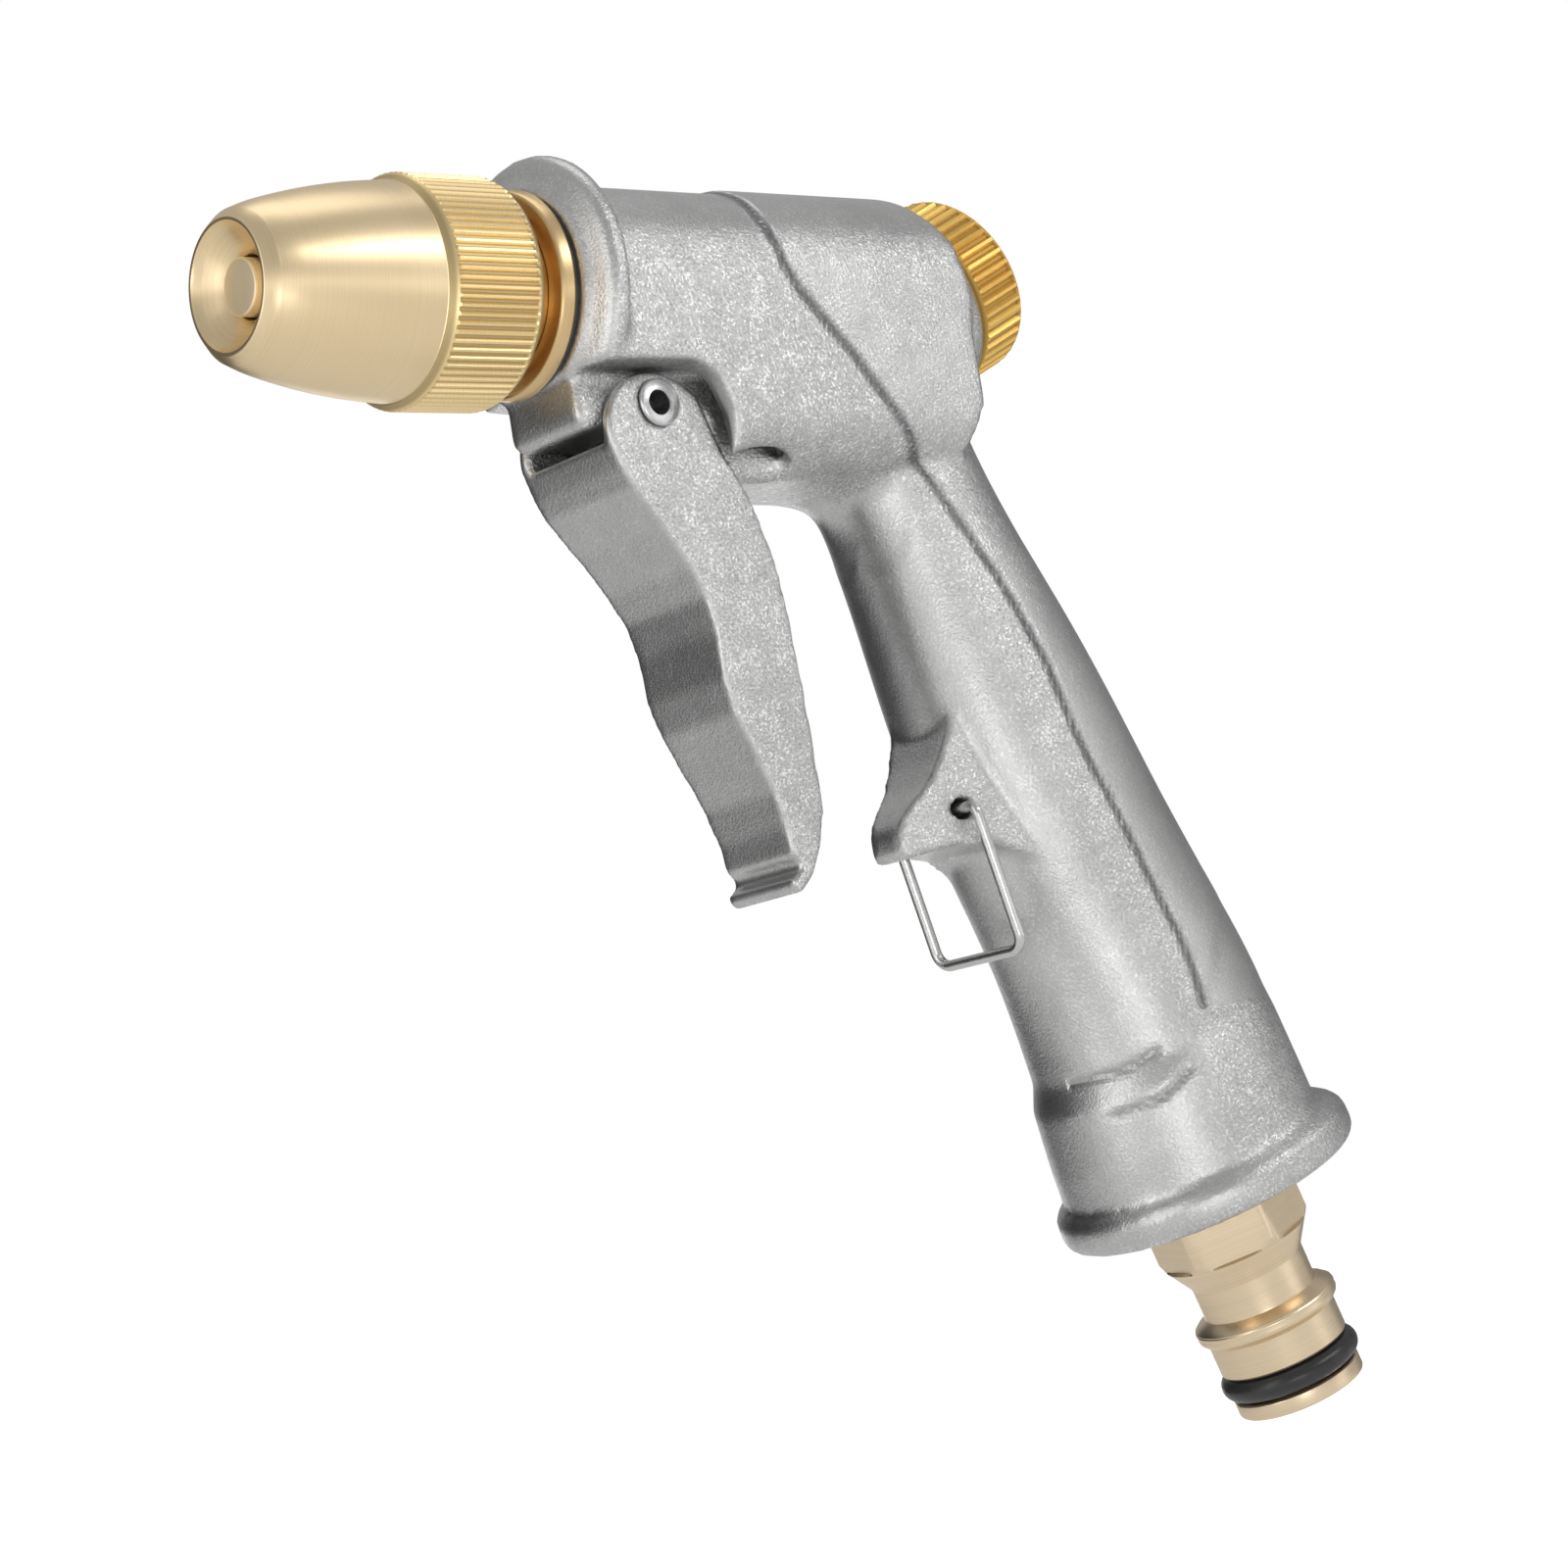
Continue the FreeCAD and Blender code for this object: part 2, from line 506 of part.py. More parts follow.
def adjuster_knob():
    """The knurled flow knob: a hollow threaded shank that holds the spring, and a head."""
    shank = on_valve(((43.2, 0), (43.2, 7.4), (43.7, KNOB_SHANK_R), (45.4, KNOB_SHANK_R), (45.4, 6.2),
                      (47.3, 6.2), (47.3, KNOB_SHANK_R), (54.2, KNOB_SHANK_R), (54.2, 0)))
    head = toothed_bar(KNOB_R, 0.45, KNOB_TEETH, 53.9, KNOB_END_S, VALVE_ROOT, VALVE_DIR)
    ends = on_valve(((53.9, 0), (53.9, 9.9), (54.4, KNOB_R), (KNOB_END_S - 0.8, KNOB_R),
                     (KNOB_END_S, KNOB_R - 0.8), (KNOB_END_S, 3.2), (KNOB_END_S - 0.6, 2.6),
                     (KNOB_END_S - 0.6, 0)))
    pocket_for_spring = rod(5.1, 42, 50.2, VALVE_ROOT, VALVE_DIR)
    return shank.fuse(head.common(ends)).cut(pocket_for_spring)


# ---- hose connector ----------------------------------------------------------------------------------
def on_handle(profile):
    """A turned piece on the handle axis."""
    return turned(profile, HANDLE_ROOT, HANDLE_DIR)


def hose_connector():
    """The brass spigot: a thread into the handle, a hexagon, a neck, a ridge and the sealing land."""
    hexagon = [Vector(113.9, 9.8 * math.cos(math.radians(60 * i + 12)),
               9.8 * math.sin(math.radians(60 * i + 12)))
               for i in range(6)]
    flats = Part.Face(Part.makePolygon(hexagon + hexagon[:1])).extrude(AXIS_X * 7.2)
    trim = turned(((113.9, 0), (113.9, 9.5), (120.9, 9.5), (121.1, 9.3), (121.1, 0)))
    body = turned((
        (101.1, 0), (101.1, 7.7), (101.8, 8.25), (113.0, 8.25), (113.6, 7.7), (114.2, 8.3), (121.0, 9.0),
        (124.2, 7.05), (128.3, 7.05), (128.9, 8.3), (129.5, 8.9), (130.6, 8.9), (131.2, 8.3), (131.4, LAND_R),
        (135.5, LAND_R), (135.5, 5.7), (TIP_START, 5.7), (TIP_START, TIP_R), (TIP_END, TIP_R), (TIP_END, 0)))
    whole = body.fuse(flats.common(trim))
    whole = whole.cut(turned(((100, 0), (100, SPIGOT_BORE_R), (140.2, SPIGOT_BORE_R), (141, 5.7), (141, 0))))
    return on_axis(whole, HANDLE_ROOT, HANDLE_DIR)


def connector_gasket():
    """The rubber washer at the bottom of the spigot's thread."""
    return on_handle(((100.05, 5.2), (100.05, 8.2), (101.05, 8.2), (101.05, 5.2)))


# ---- every piece -------------------------------------------------------------------------------------
PIECES = {
    "body_casting": casting,
    "spray_tube": spray_tube,
    "centre_pin": centre_pin,
    "nozzle_head": nozzle_head,
    "nozzle_o_ring": lambda: ring(-27.35, TUBE_R + 0.85, 0.8),
    "gland_ring": gland_ring,
    "front_gasket": front_gasket,
    "trigger_lever": trigger_lever,
    "pivot_rivet": pivot_rivet,
    "wire_bail": wire_bail,
    "stem_bushing": stem_bushing,
    "stem_o_ring": lambda: ring(17.5, 2.5, 0.9, VALVE_ROOT, VALVE_DIR),
    "valve_stem": valve_stem,
    "valve_seat": valve_seat,
    "valve_washer": valve_washer,
    "valve_plug": valve_plug,
    "stem_nut": stem_nut,
    "valve_spring": valve_spring,
    "adjuster_knob": adjuster_knob,
    "knob_o_ring": lambda: ring(46.35, 7.08, 0.82, VALVE_ROOT, VALVE_DIR),
    "hose_connector": hose_connector,
    "connector_gasket": connector_gasket,
    "connector_o_ring": lambda: ring(137.1, 7.25, 1.48, HANDLE_ROOT, HANDLE_DIR),
}

os.makedirs("parts", exist_ok=True)
for piece_name, make in PIECES.items():
    save(piece_name, make())
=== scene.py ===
"""Looks of a hose spray nozzle: cast nickel gun, turned brass nozzle, knob and hose spigot, wire bail."""
import json
import logging
import math
from dataclasses import dataclass
from enum import Enum
from typing import Iterable, Optional, Sequence, Union

import bmesh
import bpy
import numpy as np
from mathutils import Matrix, Vector


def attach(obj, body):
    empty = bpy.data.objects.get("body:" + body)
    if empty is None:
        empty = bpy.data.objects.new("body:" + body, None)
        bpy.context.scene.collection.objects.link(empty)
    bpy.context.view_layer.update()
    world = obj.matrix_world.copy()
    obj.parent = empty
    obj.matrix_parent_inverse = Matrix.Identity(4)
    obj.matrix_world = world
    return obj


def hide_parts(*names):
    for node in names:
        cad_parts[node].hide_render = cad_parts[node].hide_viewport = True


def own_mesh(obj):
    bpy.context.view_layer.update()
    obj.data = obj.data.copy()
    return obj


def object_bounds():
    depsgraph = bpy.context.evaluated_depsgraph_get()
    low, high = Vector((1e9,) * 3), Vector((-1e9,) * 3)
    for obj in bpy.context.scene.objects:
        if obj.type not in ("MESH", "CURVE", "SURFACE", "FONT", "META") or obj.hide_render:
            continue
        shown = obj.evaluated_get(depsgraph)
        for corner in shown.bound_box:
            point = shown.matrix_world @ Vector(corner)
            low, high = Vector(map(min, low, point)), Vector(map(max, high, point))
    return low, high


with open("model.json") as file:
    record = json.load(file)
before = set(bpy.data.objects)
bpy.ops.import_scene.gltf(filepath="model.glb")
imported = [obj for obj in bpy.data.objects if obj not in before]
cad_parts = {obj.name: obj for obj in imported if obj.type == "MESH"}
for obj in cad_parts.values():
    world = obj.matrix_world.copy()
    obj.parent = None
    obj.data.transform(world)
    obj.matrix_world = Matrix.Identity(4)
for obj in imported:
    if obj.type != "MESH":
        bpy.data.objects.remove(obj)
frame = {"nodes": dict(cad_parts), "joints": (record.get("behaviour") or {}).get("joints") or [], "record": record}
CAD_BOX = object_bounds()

MM = 0.001
CAD_WELD_M = 2e-6
SPUN_WELD_M = 1e-7
LOG = logging.getLogger("nozzle")
Point = tuple[float, float]
Triple = tuple[float, float, float]
Number = Union[int, float]


# ---- lines that the pieces are built on --------------------------------------------------------------
@dataclass(frozen=True)
class Line:
    """A straight line in the row frame: where its distance 0 lies, and the way distances grow."""

    root: Vector
    direction: Vector

    @classmethod
    def of_joint(cls, name: str, distance_mm: float, flip: bool = False) -> "Line":
        """Reads a line from a joint of the frame.

        Args:
            name: The joint's name.
            distance_mm: The distance along the line of the joint's own position.
            flip: Whether the line runs against the joint's axis.

        Returns:
            The line.
        """
        joint = next(j for j in frame["joints"] if j["name"] == name)
        direction = Vector(joint["axis"]).normalized() * (-1 if flip else 1)
        return cls(Vector(joint["pos_m"]) - direction * distance_mm * MM, direction)

    @classmethod
    def of_mount(cls, name: str, distance_mm: float) -> "Line":
        """Reads a line from a mount of the record.

        Args:
            name: The mount's name.
            distance_mm: The distance along the line of the mount's own position.

        Returns:
            The line.
        """
        mount = next(m for m in frame["record"]["mounts"] if m["name"] == name)
        direction = Vector(mount["axis"]).normalized()
        return cls(Vector(mount["pos_m"]) - direction * distance_mm * MM, direction)

    def at(self, distance_mm: float) -> Vector:
        """The point at a distance along the line."""
        return self.root + self.direction * distance_mm * MM

    def matrix(self) -> Matrix:
        """Takes the X axis at the origin onto this line."""
        turn = Vector((1, 0, 0)).rotation_difference(self.direction).to_matrix().to_4x4()
        return Matrix.Translation(self.root) @ turn


BARREL = Line.of_joint("nozzle_twist", -20.0, flip=True)
VALVE = Line.of_joint("knob_twist", 57.0)
SPIGOT = Line.of_mount("hose_spigot", 140.8)


def spot(x: float, y: float, z: float) -> Vector:
    """A point given in millimetres from the barrel's axis, as a place in the row frame."""
    return BARREL.root + Vector((x, y, z)) * MM


# ---- shader maths ------------------------------------------------------------------------------------
class Shade:
    """A shader socket that can be used in Python sums."""

    def __init__(self, graph: "Graph", socket: bpy.types.NodeSocket) -> None:
        """Wraps a socket of a graph."""
        self.graph = graph
        self.socket = socket

    def _sum(self, operation: str, a: "Feed", b: "Feed") -> "Shade":
        """Adds one Math node."""
        return self.graph.node("ShaderNodeMath", {"operation": operation}, {0: a, 1: b})

    def __add__(self, other: "Feed") -> "Shade":
        """This plus another."""
        return self._sum("ADD", self, other)

    def __radd__(self, other: "Feed") -> "Shade":
        """Another plus this."""
        return self._sum("ADD", other, self)

    def __sub__(self, other: "Feed") -> "Shade":
        """This less another."""
        return self._sum("SUBTRACT", self, other)

    def __rsub__(self, other: "Feed") -> "Shade":
        """Another less this."""
        return self._sum("SUBTRACT", other, self)

    def __mul__(self, other: "Feed") -> "Shade":
        """This times another."""
        return self._sum("MULTIPLY", self, other)

    def __rmul__(self, other: "Feed") -> "Shade":
        """Another times this."""
        return self._sum("MULTIPLY", other, self)


Feed = Union[Shade, Number, Sequence[float]]


class Graph:
    """One material's nodes, made through a single method."""

    def __init__(self, name: str) -> None:
        """Starts a material with one metal-ready surface shader."""
        self.material = bpy.data.materials.new(name)
        self.material.use_nodes = True
        self.tree = self.material.node_tree
        self.tree.nodes.clear()
        self.surface = self.tree.nodes.new("ShaderNodeBsdfPrincipled")
        out = self.tree.nodes.new("ShaderNodeOutputMaterial")
        self.tree.links.new(self.surface.outputs[0], out.inputs[0])

    def node(
        self,
        kind: str,
        settings: Optional[dict[str, object]] = None,
        feeds: Optional[dict[Union[int, str], Feed]] = None,
        output: Union[int, str] = 0,
    ) -> Shade:
        """Makes a node.

        Args:
            kind: The node's type.
            settings: The node's own settings, set first.
            feeds: Values or links for its sockets.
            output: The socket that is handed back.

        Returns:
            The chosen output as a Shade.
        """
        made = self.tree.nodes.new(kind)
        for key, value in (settings or {}).items():
            setattr(made, key, value)
        for key, value in (feeds or {}).items():
            self.feed(made.inputs[key], value)
        return Shade(self, made.outputs[output])

    def feed(self, socket: bpy.types.NodeSocket, value: Feed) -> None:
        """Links a Shade to a socket, or sets the socket's own value.

        Args:
            socket: The input that is fed.
            value: The Shade or the constant.
        """
        if isinstance(value, Shade):
            self.tree.links.new(value.socket, socket)
        else:
            socket.default_value = value

    def clamp(self, value: Feed, low: float, high: float) -> Shade:
        """Maps low..high to 0..1 and holds it there."""
        return self.node(
            "ShaderNodeMapRange",
            {"interpolation_type": "SMOOTHSTEP"},
            {"Value": value, "From Min": low, "From Max": high, "To Min": 0.0, "To Max": 1.0},
        )

    def place(self) -> Shade:
        """The point on the piece, in the piece's own coordinates."""
        return self.node("ShaderNodeTexCoord", output="Object")

    def noise(self, vector: Shade, scale: float, detail: float = 2.0, rough: float = 0.5) -> Shade:
        """Soft random grain, 0..1."""
        return self.node(
            "ShaderNodeTexNoise",
            {"noise_dimensions": "3D"},
            {"Vector": vector, "Scale": scale, "Detail": detail, "Roughness": rough},
        )

    def rings(self, distance: Shade, per_mm: float, detail: float = 2.0) -> Shade:
        """Random rings across a turned piece, 0..1, from a distance in metres along its line."""
        return self.node(
            "ShaderNodeTexNoise",
            {"noise_dimensions": "1D"},
            {"W": distance, "Scale": per_mm * 1000.0, "Detail": detail, "Roughness": 0.6},
        )

    def vector(self, operation: str, a: Feed, b: Optional[Feed] = None, output: str = "Vector") -> Shade:
        """Adds one Vector Math node."""
        feeds = {0: a} if b is None else {0: a, 1: b}
        return self.node("ShaderNodeVectorMath", {"operation": operation}, feeds, output)

    def along(self, line: Line) -> Shade:
        """Distance in metres along a line from its root."""
        offset = self.vector("SUBTRACT", self.place(), tuple(line.root))
        return self.vector("DOT_PRODUCT", offset, tuple(line.direction), "Value")

    def off(self, line: Line) -> Shade:
        """Works out the distance in metres from a line.

        Args:
            line: The line.

        Returns:
            The distance.
        """
        offset = self.vector("SUBTRACT", self.place(), tuple(line.root))
        across = self.vector("CROSS_PRODUCT", offset, tuple(line.direction))
        return self.vector("LENGTH", across, output="Value")

    def blend(self, factor: Feed, a: Feed, b: Feed) -> Shade:
        """Mixes two colours."""
        return self.node(
            "ShaderNodeMix",
            {"data_type": "RGBA", "clamp_factor": True},
            {0: factor, 6: a, 7: b},
            2,
        )

    def bump(self, height: Shade, depth_mm: float, under: Optional[Shade] = None) -> Shade:
        """Raises the surface by a height map.

        Args:
            height: The map, where 1 is the full depth.
            depth_mm: The depth in millimetres.
            under: A normal that the map is added to.

        Returns:
            The new normal.
        """
        feeds: dict[Union[int, str], Feed] = {"Height": height, "Distance": depth_mm * MM, "Strength": 1.0}
        if under is not None:
            feeds["Normal"] = under
        return self.node("ShaderNodeBump", {}, feeds)

    def finish(self, **sockets: Feed) -> bpy.types.Material:
        """Feeds the surface shader.

        Args:
            **sockets: Values by socket name, with spaces written as underscores.

        Returns:
            The finished material.
        """
        for name, value in sockets.items():
            self.feed(self.surface.inputs[name.replace("_", " ")], value)
        return self.material


# ---- finishes ----------------------------------------------------------------------------------------
def colour(red: float, green: float, blue: float) -> tuple[float, float, float, float]:
    """An opaque colour."""
    return (red, green, blue, 1.0)


def shaded(tint: Triple, by: float) -> tuple[float, float, float, float]:
    """An opaque colour made darker or lighter."""
    return colour(*(c * by for c in tint))


@dataclass(frozen=True)
class BlastedNickel:
    """Satin pearl nickel over a blasted zinc casting, with smoother and coarser parts."""

    name: str
    tint: Triple
    grain_per_mm: float = 3.3
    grain_depth_mm: float = 0.15
    cloud_per_m: float = 70.0
    patch_per_m: float = 330.0
    marks: bool = False
    mark_depth_mm: float = 0.55

    def material(self) -> bpy.types.Material:
        """Builds the material.

        Returns:
            A metal whose sparkle comes from a fine grain, with painted highlights on the grain's peaks and painted
            shade in its hollows, calmer where the attribute "smooth" is high.
        """
        g = Graph(self.name)
        p = g.place()
        calm = g.node("ShaderNodeAttribute", {"attribute_name": "smooth"}, output="Fac")
        scale = self.grain_per_mm * 1000.0
        grain = g.noise(p, scale, 4.0, 0.62)
        pits = g.node("ShaderNodeTexVoronoi", {"feature": "F1"}, {"Vector": p, "Scale": scale * 0.8})
        cloud = g.noise(p, self.cloud_per_m, 3.0, 0.55)
        patch = g.noise(p, self.patch_per_m, 3.0, 0.55)
        wake = 1.0 - calm * 0.80
        height = (grain + pits * 0.25) * wake + patch * 0.35
        normal = g.bump(height, self.grain_depth_mm)
        fleck = grain + patch * 0.25
        # Painted highlights and painted shade: the grain's peaks are painted near-white as glints, and its hollows
        # dark grey as pit shade.
        painted_glint = g.clamp(fleck, 0.64, 0.78) * wake
        painted_pit_shade = g.clamp(fleck, 0.58, 0.44) * wake
        tone = g.blend(cloud, shaded(self.tint, 0.88), shaded(self.tint, 1.10))
        tone = g.blend(painted_glint * 0.95, tone, colour(1.0, 1.0, 0.99))
        tone = g.blend(painted_pit_shade * 0.45, tone, colour(0.20, 0.20, 0.20))
        rough = 0.20 + cloud * 0.08 + calm * 0.10 - painted_glint * 0.04
        if self.marks:
            line = g.node("ShaderNodeAttribute", {"attribute_name": "line"}, output="Fac")
            crease = g.node("ShaderNodeAttribute", {"attribute_name": "crease"}, output="Fac")
            normal = g.bump(1.0 - line - crease * 0.5, self.mark_depth_mm, normal)
            # Painted shade: the panel groove line and the creases are darkened toward near-black, as the shade
            # inside these dents.
            tone = g.blend(line * 0.72 + crease * 0.35, tone, colour(0.06, 0.06, 0.06))
            rough = rough + line * 0.2
        return g.finish(Base_Color=tone, Metallic=1.0, Roughness=rough, Normal=normal)


@dataclass(frozen=True)
class TurnedBrass:
    """Lathe-turned brass with fine rings about its line, with painted shade in its grooves and in the rings'
    valleys.
    """

    name: str
    tint: Triple
    shade: Triple
    line: Line
    rings_per_mm: float = 9.0
    ring_depth_mm: float = 0.010
    rough: float = 0.24
    groove_shade_mm: Optional[Point] = None
    broad_per_mm: float = 0.9
    broad_shift: float = 0.37
    cloud_per_m: float = 130.0
    speck_per_m: float = 5200.0

    def material(self) -> bpy.types.Material:
        """Builds the material.

        Returns:
            A brass whose rings follow the turned piece's own line.
        """
        g = Graph(self.name)
        p = g.place()
        u = g.along(self.line)
        fine = g.rings(u, self.rings_per_mm, 3.0)
        broad = g.rings(u + self.broad_shift, self.broad_per_mm, 2.0)
        cloud = g.noise(p, self.cloud_per_m, 3.0, 0.55)
        speck = g.noise(p, self.speck_per_m, 2.0, 0.6)
        normal = g.bump(fine * 0.8 + broad * 0.5 + speck * 0.12, self.ring_depth_mm)
        tone = g.blend(cloud * 0.5 + broad * 0.5, colour(*self.shade), colour(*self.tint))
        # Painted shade: the valleys of the fine rings are darkened.
        tone = g.blend(g.clamp(fine, 0.62, 0.42) * 0.22, tone, shaded(self.shade, 0.7))
        rough = self.rough + fine * 0.10 + cloud * 0.06
        # Painted shade: nearer the line than the groove's outer radius, down in the knurl's valleys, the brass is
        # darkened.
        if self.groove_shade_mm is not None:
            low, high = self.groove_shade_mm
            depth = g.clamp(g.off(self.line), high * MM, low * MM)
            tone = g.blend(depth * 0.62, tone, shaded(self.shade, 0.32))
            rough = rough + depth * 0.16
        return g.finish(Base_Color=tone, Metallic=1.0, Roughness=rough, Normal=normal)


@dataclass(frozen=True)
class DrawnSteel:
    """Bright drawn or rolled steel with streaks along one direction."""

    name: str
    tint: Triple
    streak: Triple
    rough: float = 0.22
    cloud_per_m: float = 300.0
    streak_depth_mm: float = 0.012

    def material(self) -> bpy.types.Material:
        """Builds the material.

        Returns:
            A steel whose noise is stretched by the streak's three scales.
        """
        g = Graph(self.name)
        p = g.place()
        pulled = g.node("ShaderNodeMapping", {"vector_type": "POINT"}, {"Vector": p, "Scale": self.streak})
        streaks = g.noise(pulled, 1.0, 3.0, 0.6)
        cloud = g.noise(p, self.cloud_per_m, 2.0, 0.5)
        tone = g.blend(streaks, shaded(self.tint, 0.72), colour(*self.tint))
        rough = self.rough + streaks * 0.14 + cloud * 0.05
        normal = g.bump(streaks, self.streak_depth_mm)
        return g.finish(Base_Color=tone, Metallic=1.0, Roughness=rough, Normal=normal)


@dataclass(frozen=True)
class BlackRubber:
    """Moulded black rubber with a faint skin."""

    name: str
    tint: Triple = (0.012, 0.012, 0.013)
    skin_per_m: float = 2400.0
    cloud_per_m: float = 260.0
    skin_depth_mm: float = 0.008

    def material(self) -> bpy.types.Material:
        """Builds the material.

        Returns:
            A dark, fairly glossy rubber.
        """
        g = Graph(self.name)
        p = g.place()
        skin = g.noise(p, self.skin_per_m, 2.0, 0.5)
        cloud = g.noise(p, self.cloud_per_m, 2.0, 0.5)
        tone = g.blend(cloud, colour(*self.tint), shaded(self.tint, 2.1))
        return g.finish(
            Base_Color=tone,
            Metallic=0.0,
            Roughness=0.22 + skin * 0.10 + cloud * 0.06,
            Normal=g.bump(skin, self.skin_depth_mm),
        )


@dataclass(frozen=True)
class StudioPaint:
    """The floor's plain pale paint."""

    name: str = "studio_floor"
    glow: float = 0.90
    patch_per_m: float = 3.0

    def material(self) -> bpy.types.Material:
        """Builds the material.

        Returns:
            A pale matte paint.
        """
        g = Graph(self.name)
        soft = g.noise(g.place(), self.patch_per_m, 2.0, 0.5)
        tone = g.blend(soft, colour(0.90, 0.90, 0.90), colour(0.93, 0.93, 0.93))
        return g.finish(
            Base_Color=tone,
            Roughness=0.7 + soft * 0.1,
            Emission_Color=colour(1.0, 1.0, 1.0),
            Emission_Strength=self.glow,
        )


class Finish(Enum):
    """The finishes of this nozzle."""

    CASTING = BlastedNickel("cast_nickel", (0.60, 0.60, 0.595), marks=True)
    LEVER = BlastedNickel("lever_nickel", (0.60, 0.60, 0.595))
    NOSE = TurnedBrass("nose_brass", (0.98, 0.80, 0.52), (0.90, 0.70, 0.42), BARREL, rough=0.26)
    PIN = TurnedBrass("pin_brass", (1.00, 0.86, 0.62), (0.95, 0.78, 0.52), BARREL, 7.0, 0.008, 0.40)
    COLLAR = TurnedBrass(
        "collar_brass", (1.00, 0.80, 0.45), (0.95, 0.72, 0.36), BARREL, 5.0, 0.006, 0.26, (12.3, 12.66)
    )
    GLAND = TurnedBrass("gland_brass", (0.88, 0.68, 0.38), (0.72, 0.50, 0.24), BARREL, 7.0, 0.008, 0.24)
    # The tube's brass is toned darker and more orange-brown than the other brass: brass colour with painted shade
    # for the groove between the collar and the lock ring.
    TUBE_IN_SHADE = TurnedBrass("tube_brass", (0.80, 0.52, 0.22), (0.55, 0.30, 0.10), BARREL, 7.0, 0.010, 0.28)
    KNOB = TurnedBrass(
        "knob_brass", (0.96, 0.66, 0.22), (0.86, 0.52, 0.12), VALVE, 5.0, 0.006, 0.28, (10.2, 10.75)
    )
    VALVE = TurnedBrass("valve_brass", (0.82, 0.62, 0.30), (0.66, 0.46, 0.20), VALVE, 7.0, 0.008, 0.28)
    SPIGOT = TurnedBrass("spigot_brass", (0.94, 0.78, 0.56), (0.85, 0.68, 0.46), SPIGOT, 6.0, 0.010, 0.22)
    RIVET = DrawnSteel("rivet_steel", (0.80, 0.80, 0.80), (3000.0, 300.0, 3000.0), 0.20)
    WIRE = DrawnSteel("wire_steel", (0.78, 0.78, 0.77), (5200.0, 5200.0, 260.0), 0.16)
    SPRING = DrawnSteel("spring_steel", (0.58, 0.58, 0.58), (2600.0, 2600.0, 2600.0), 0.30)
    RUBBER = BlackRubber("black_rubber")


class Wardrobe:
    """Makes each finish once and dresses pieces in it."""

    def __init__(self) -> None:
        """Starts with nothing made."""
        self._made: dict[Finish, bpy.types.Material] = {}

    def get(self, finish: Finish) -> bpy.types.Material:
        """Makes the material of a finish the first time it is asked for.

        Args:
            finish: The finish.

        Returns:
            Its material.
        """
        if finish not in self._made:
            self._made[finish] = finish.value.material()
        return self._made[finish]

    def dress(self, piece: bpy.types.Object, *finishes: Finish) -> None:
        """Gives a new piece its materials.

        Args:
            piece: The piece.
            *finishes: Its finishes, in slot order.
        """
        piece.data.materials.clear()
        for finish in finishes:
            piece.data.materials.append(self.get(finish))

    def dress_node(self, node: str, finish: Finish) -> None:
        """Gives a carried-over CAD node its material through its object's slots.

        Args:
            node: The node's name.
            finish: Its finish.
        """
        for holder in frame["nodes"][node].material_slots:
            holder.link = "OBJECT"
            holder.material = self.get(finish)


# ---- mesh helpers ------------------------------------------------------------------------------------
def into_scene(name: str, data: bpy.types.ID) -> bpy.types.Object:
    """Puts a mesh, curve, lamp or lens into the scene.

    Args:
        name: The object's name.
        data: What the object shows.

    Returns:
        The new object.
    """
    holder = bpy.data.objects.new(name, data)
    bpy.context.scene.collection.objects.link(holder)
    return holder


def as_mesh(bm: bmesh.types.BMesh, name: str) -> bpy.types.Mesh:
    """Turns a bmesh into a mesh.

    Args:
        bm: The bmesh; it is freed.
        name: The mesh's name.

    Returns:
        The new mesh.
    """
    mesh = bpy.data.meshes.new(name)
    bm.to_mesh(mesh)
    bm.free()
    return mesh


def as_shown(holder: bpy.types.Object) -> bpy.types.Mesh:
    """The mesh of an object with its modifiers applied."""
    shown = holder.evaluated_get(bpy.context.evaluated_depsgraph_get())
    return bpy.data.meshes.new_from_object(shown)


def read_triples(items: bpy.types.bpy_prop_collection, what: str) -> np.ndarray:
    """Reads three numbers from each item of a mesh, as an (n, 3) array.

    Args:
        items: The mesh's points or normals.
        what: The property that is read.

    Returns:
        The array.
    """
    flat = np.empty(len(items) * 3)
    items.foreach_get(what, flat)
    return flat.reshape(-1, 3)


def welded(node: str) -> bmesh.types.BMesh:
    """Copies a CAD node's mesh, with the corners that its faces share joined.

    Args:
        node: The node to copy.

    Returns:
        The copy.
    """
    bm = bmesh.new()
    bm.from_mesh(frame["nodes"][node].data)
    bmesh.ops.remove_doubles(bm, verts=bm.verts[:], dist=CAD_WELD_M)
    return bm


def finish_piece(
    bm: bmesh.types.BMesh, name: str, body: str, stands_for: Iterable[str], sharp_deg: float = 32.0
) -> bpy.types.Object:
    """Turns a bmesh into a piece of the frame.

    Args:
        bm: The mesh, in place; it is freed.
        name: The piece's name.
        body: The CAD body that it moves with.
        stands_for: The CAD nodes that it replaces.
        sharp_deg: Edges that bend more than this stay crisp.

    Returns:
        The new object.
    """
    mesh = as_mesh(bm, name)
    for polygon in mesh.polygons:
        polygon.use_smooth = True
    mesh.set_sharp_from_angle(angle=math.radians(sharp_deg))
    piece = into_scene(name, mesh)
    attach(piece, body)
    for node in stands_for:
        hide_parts(node)
    LOG.info("%s: %d faces", name, len(mesh.polygons))
    return piece


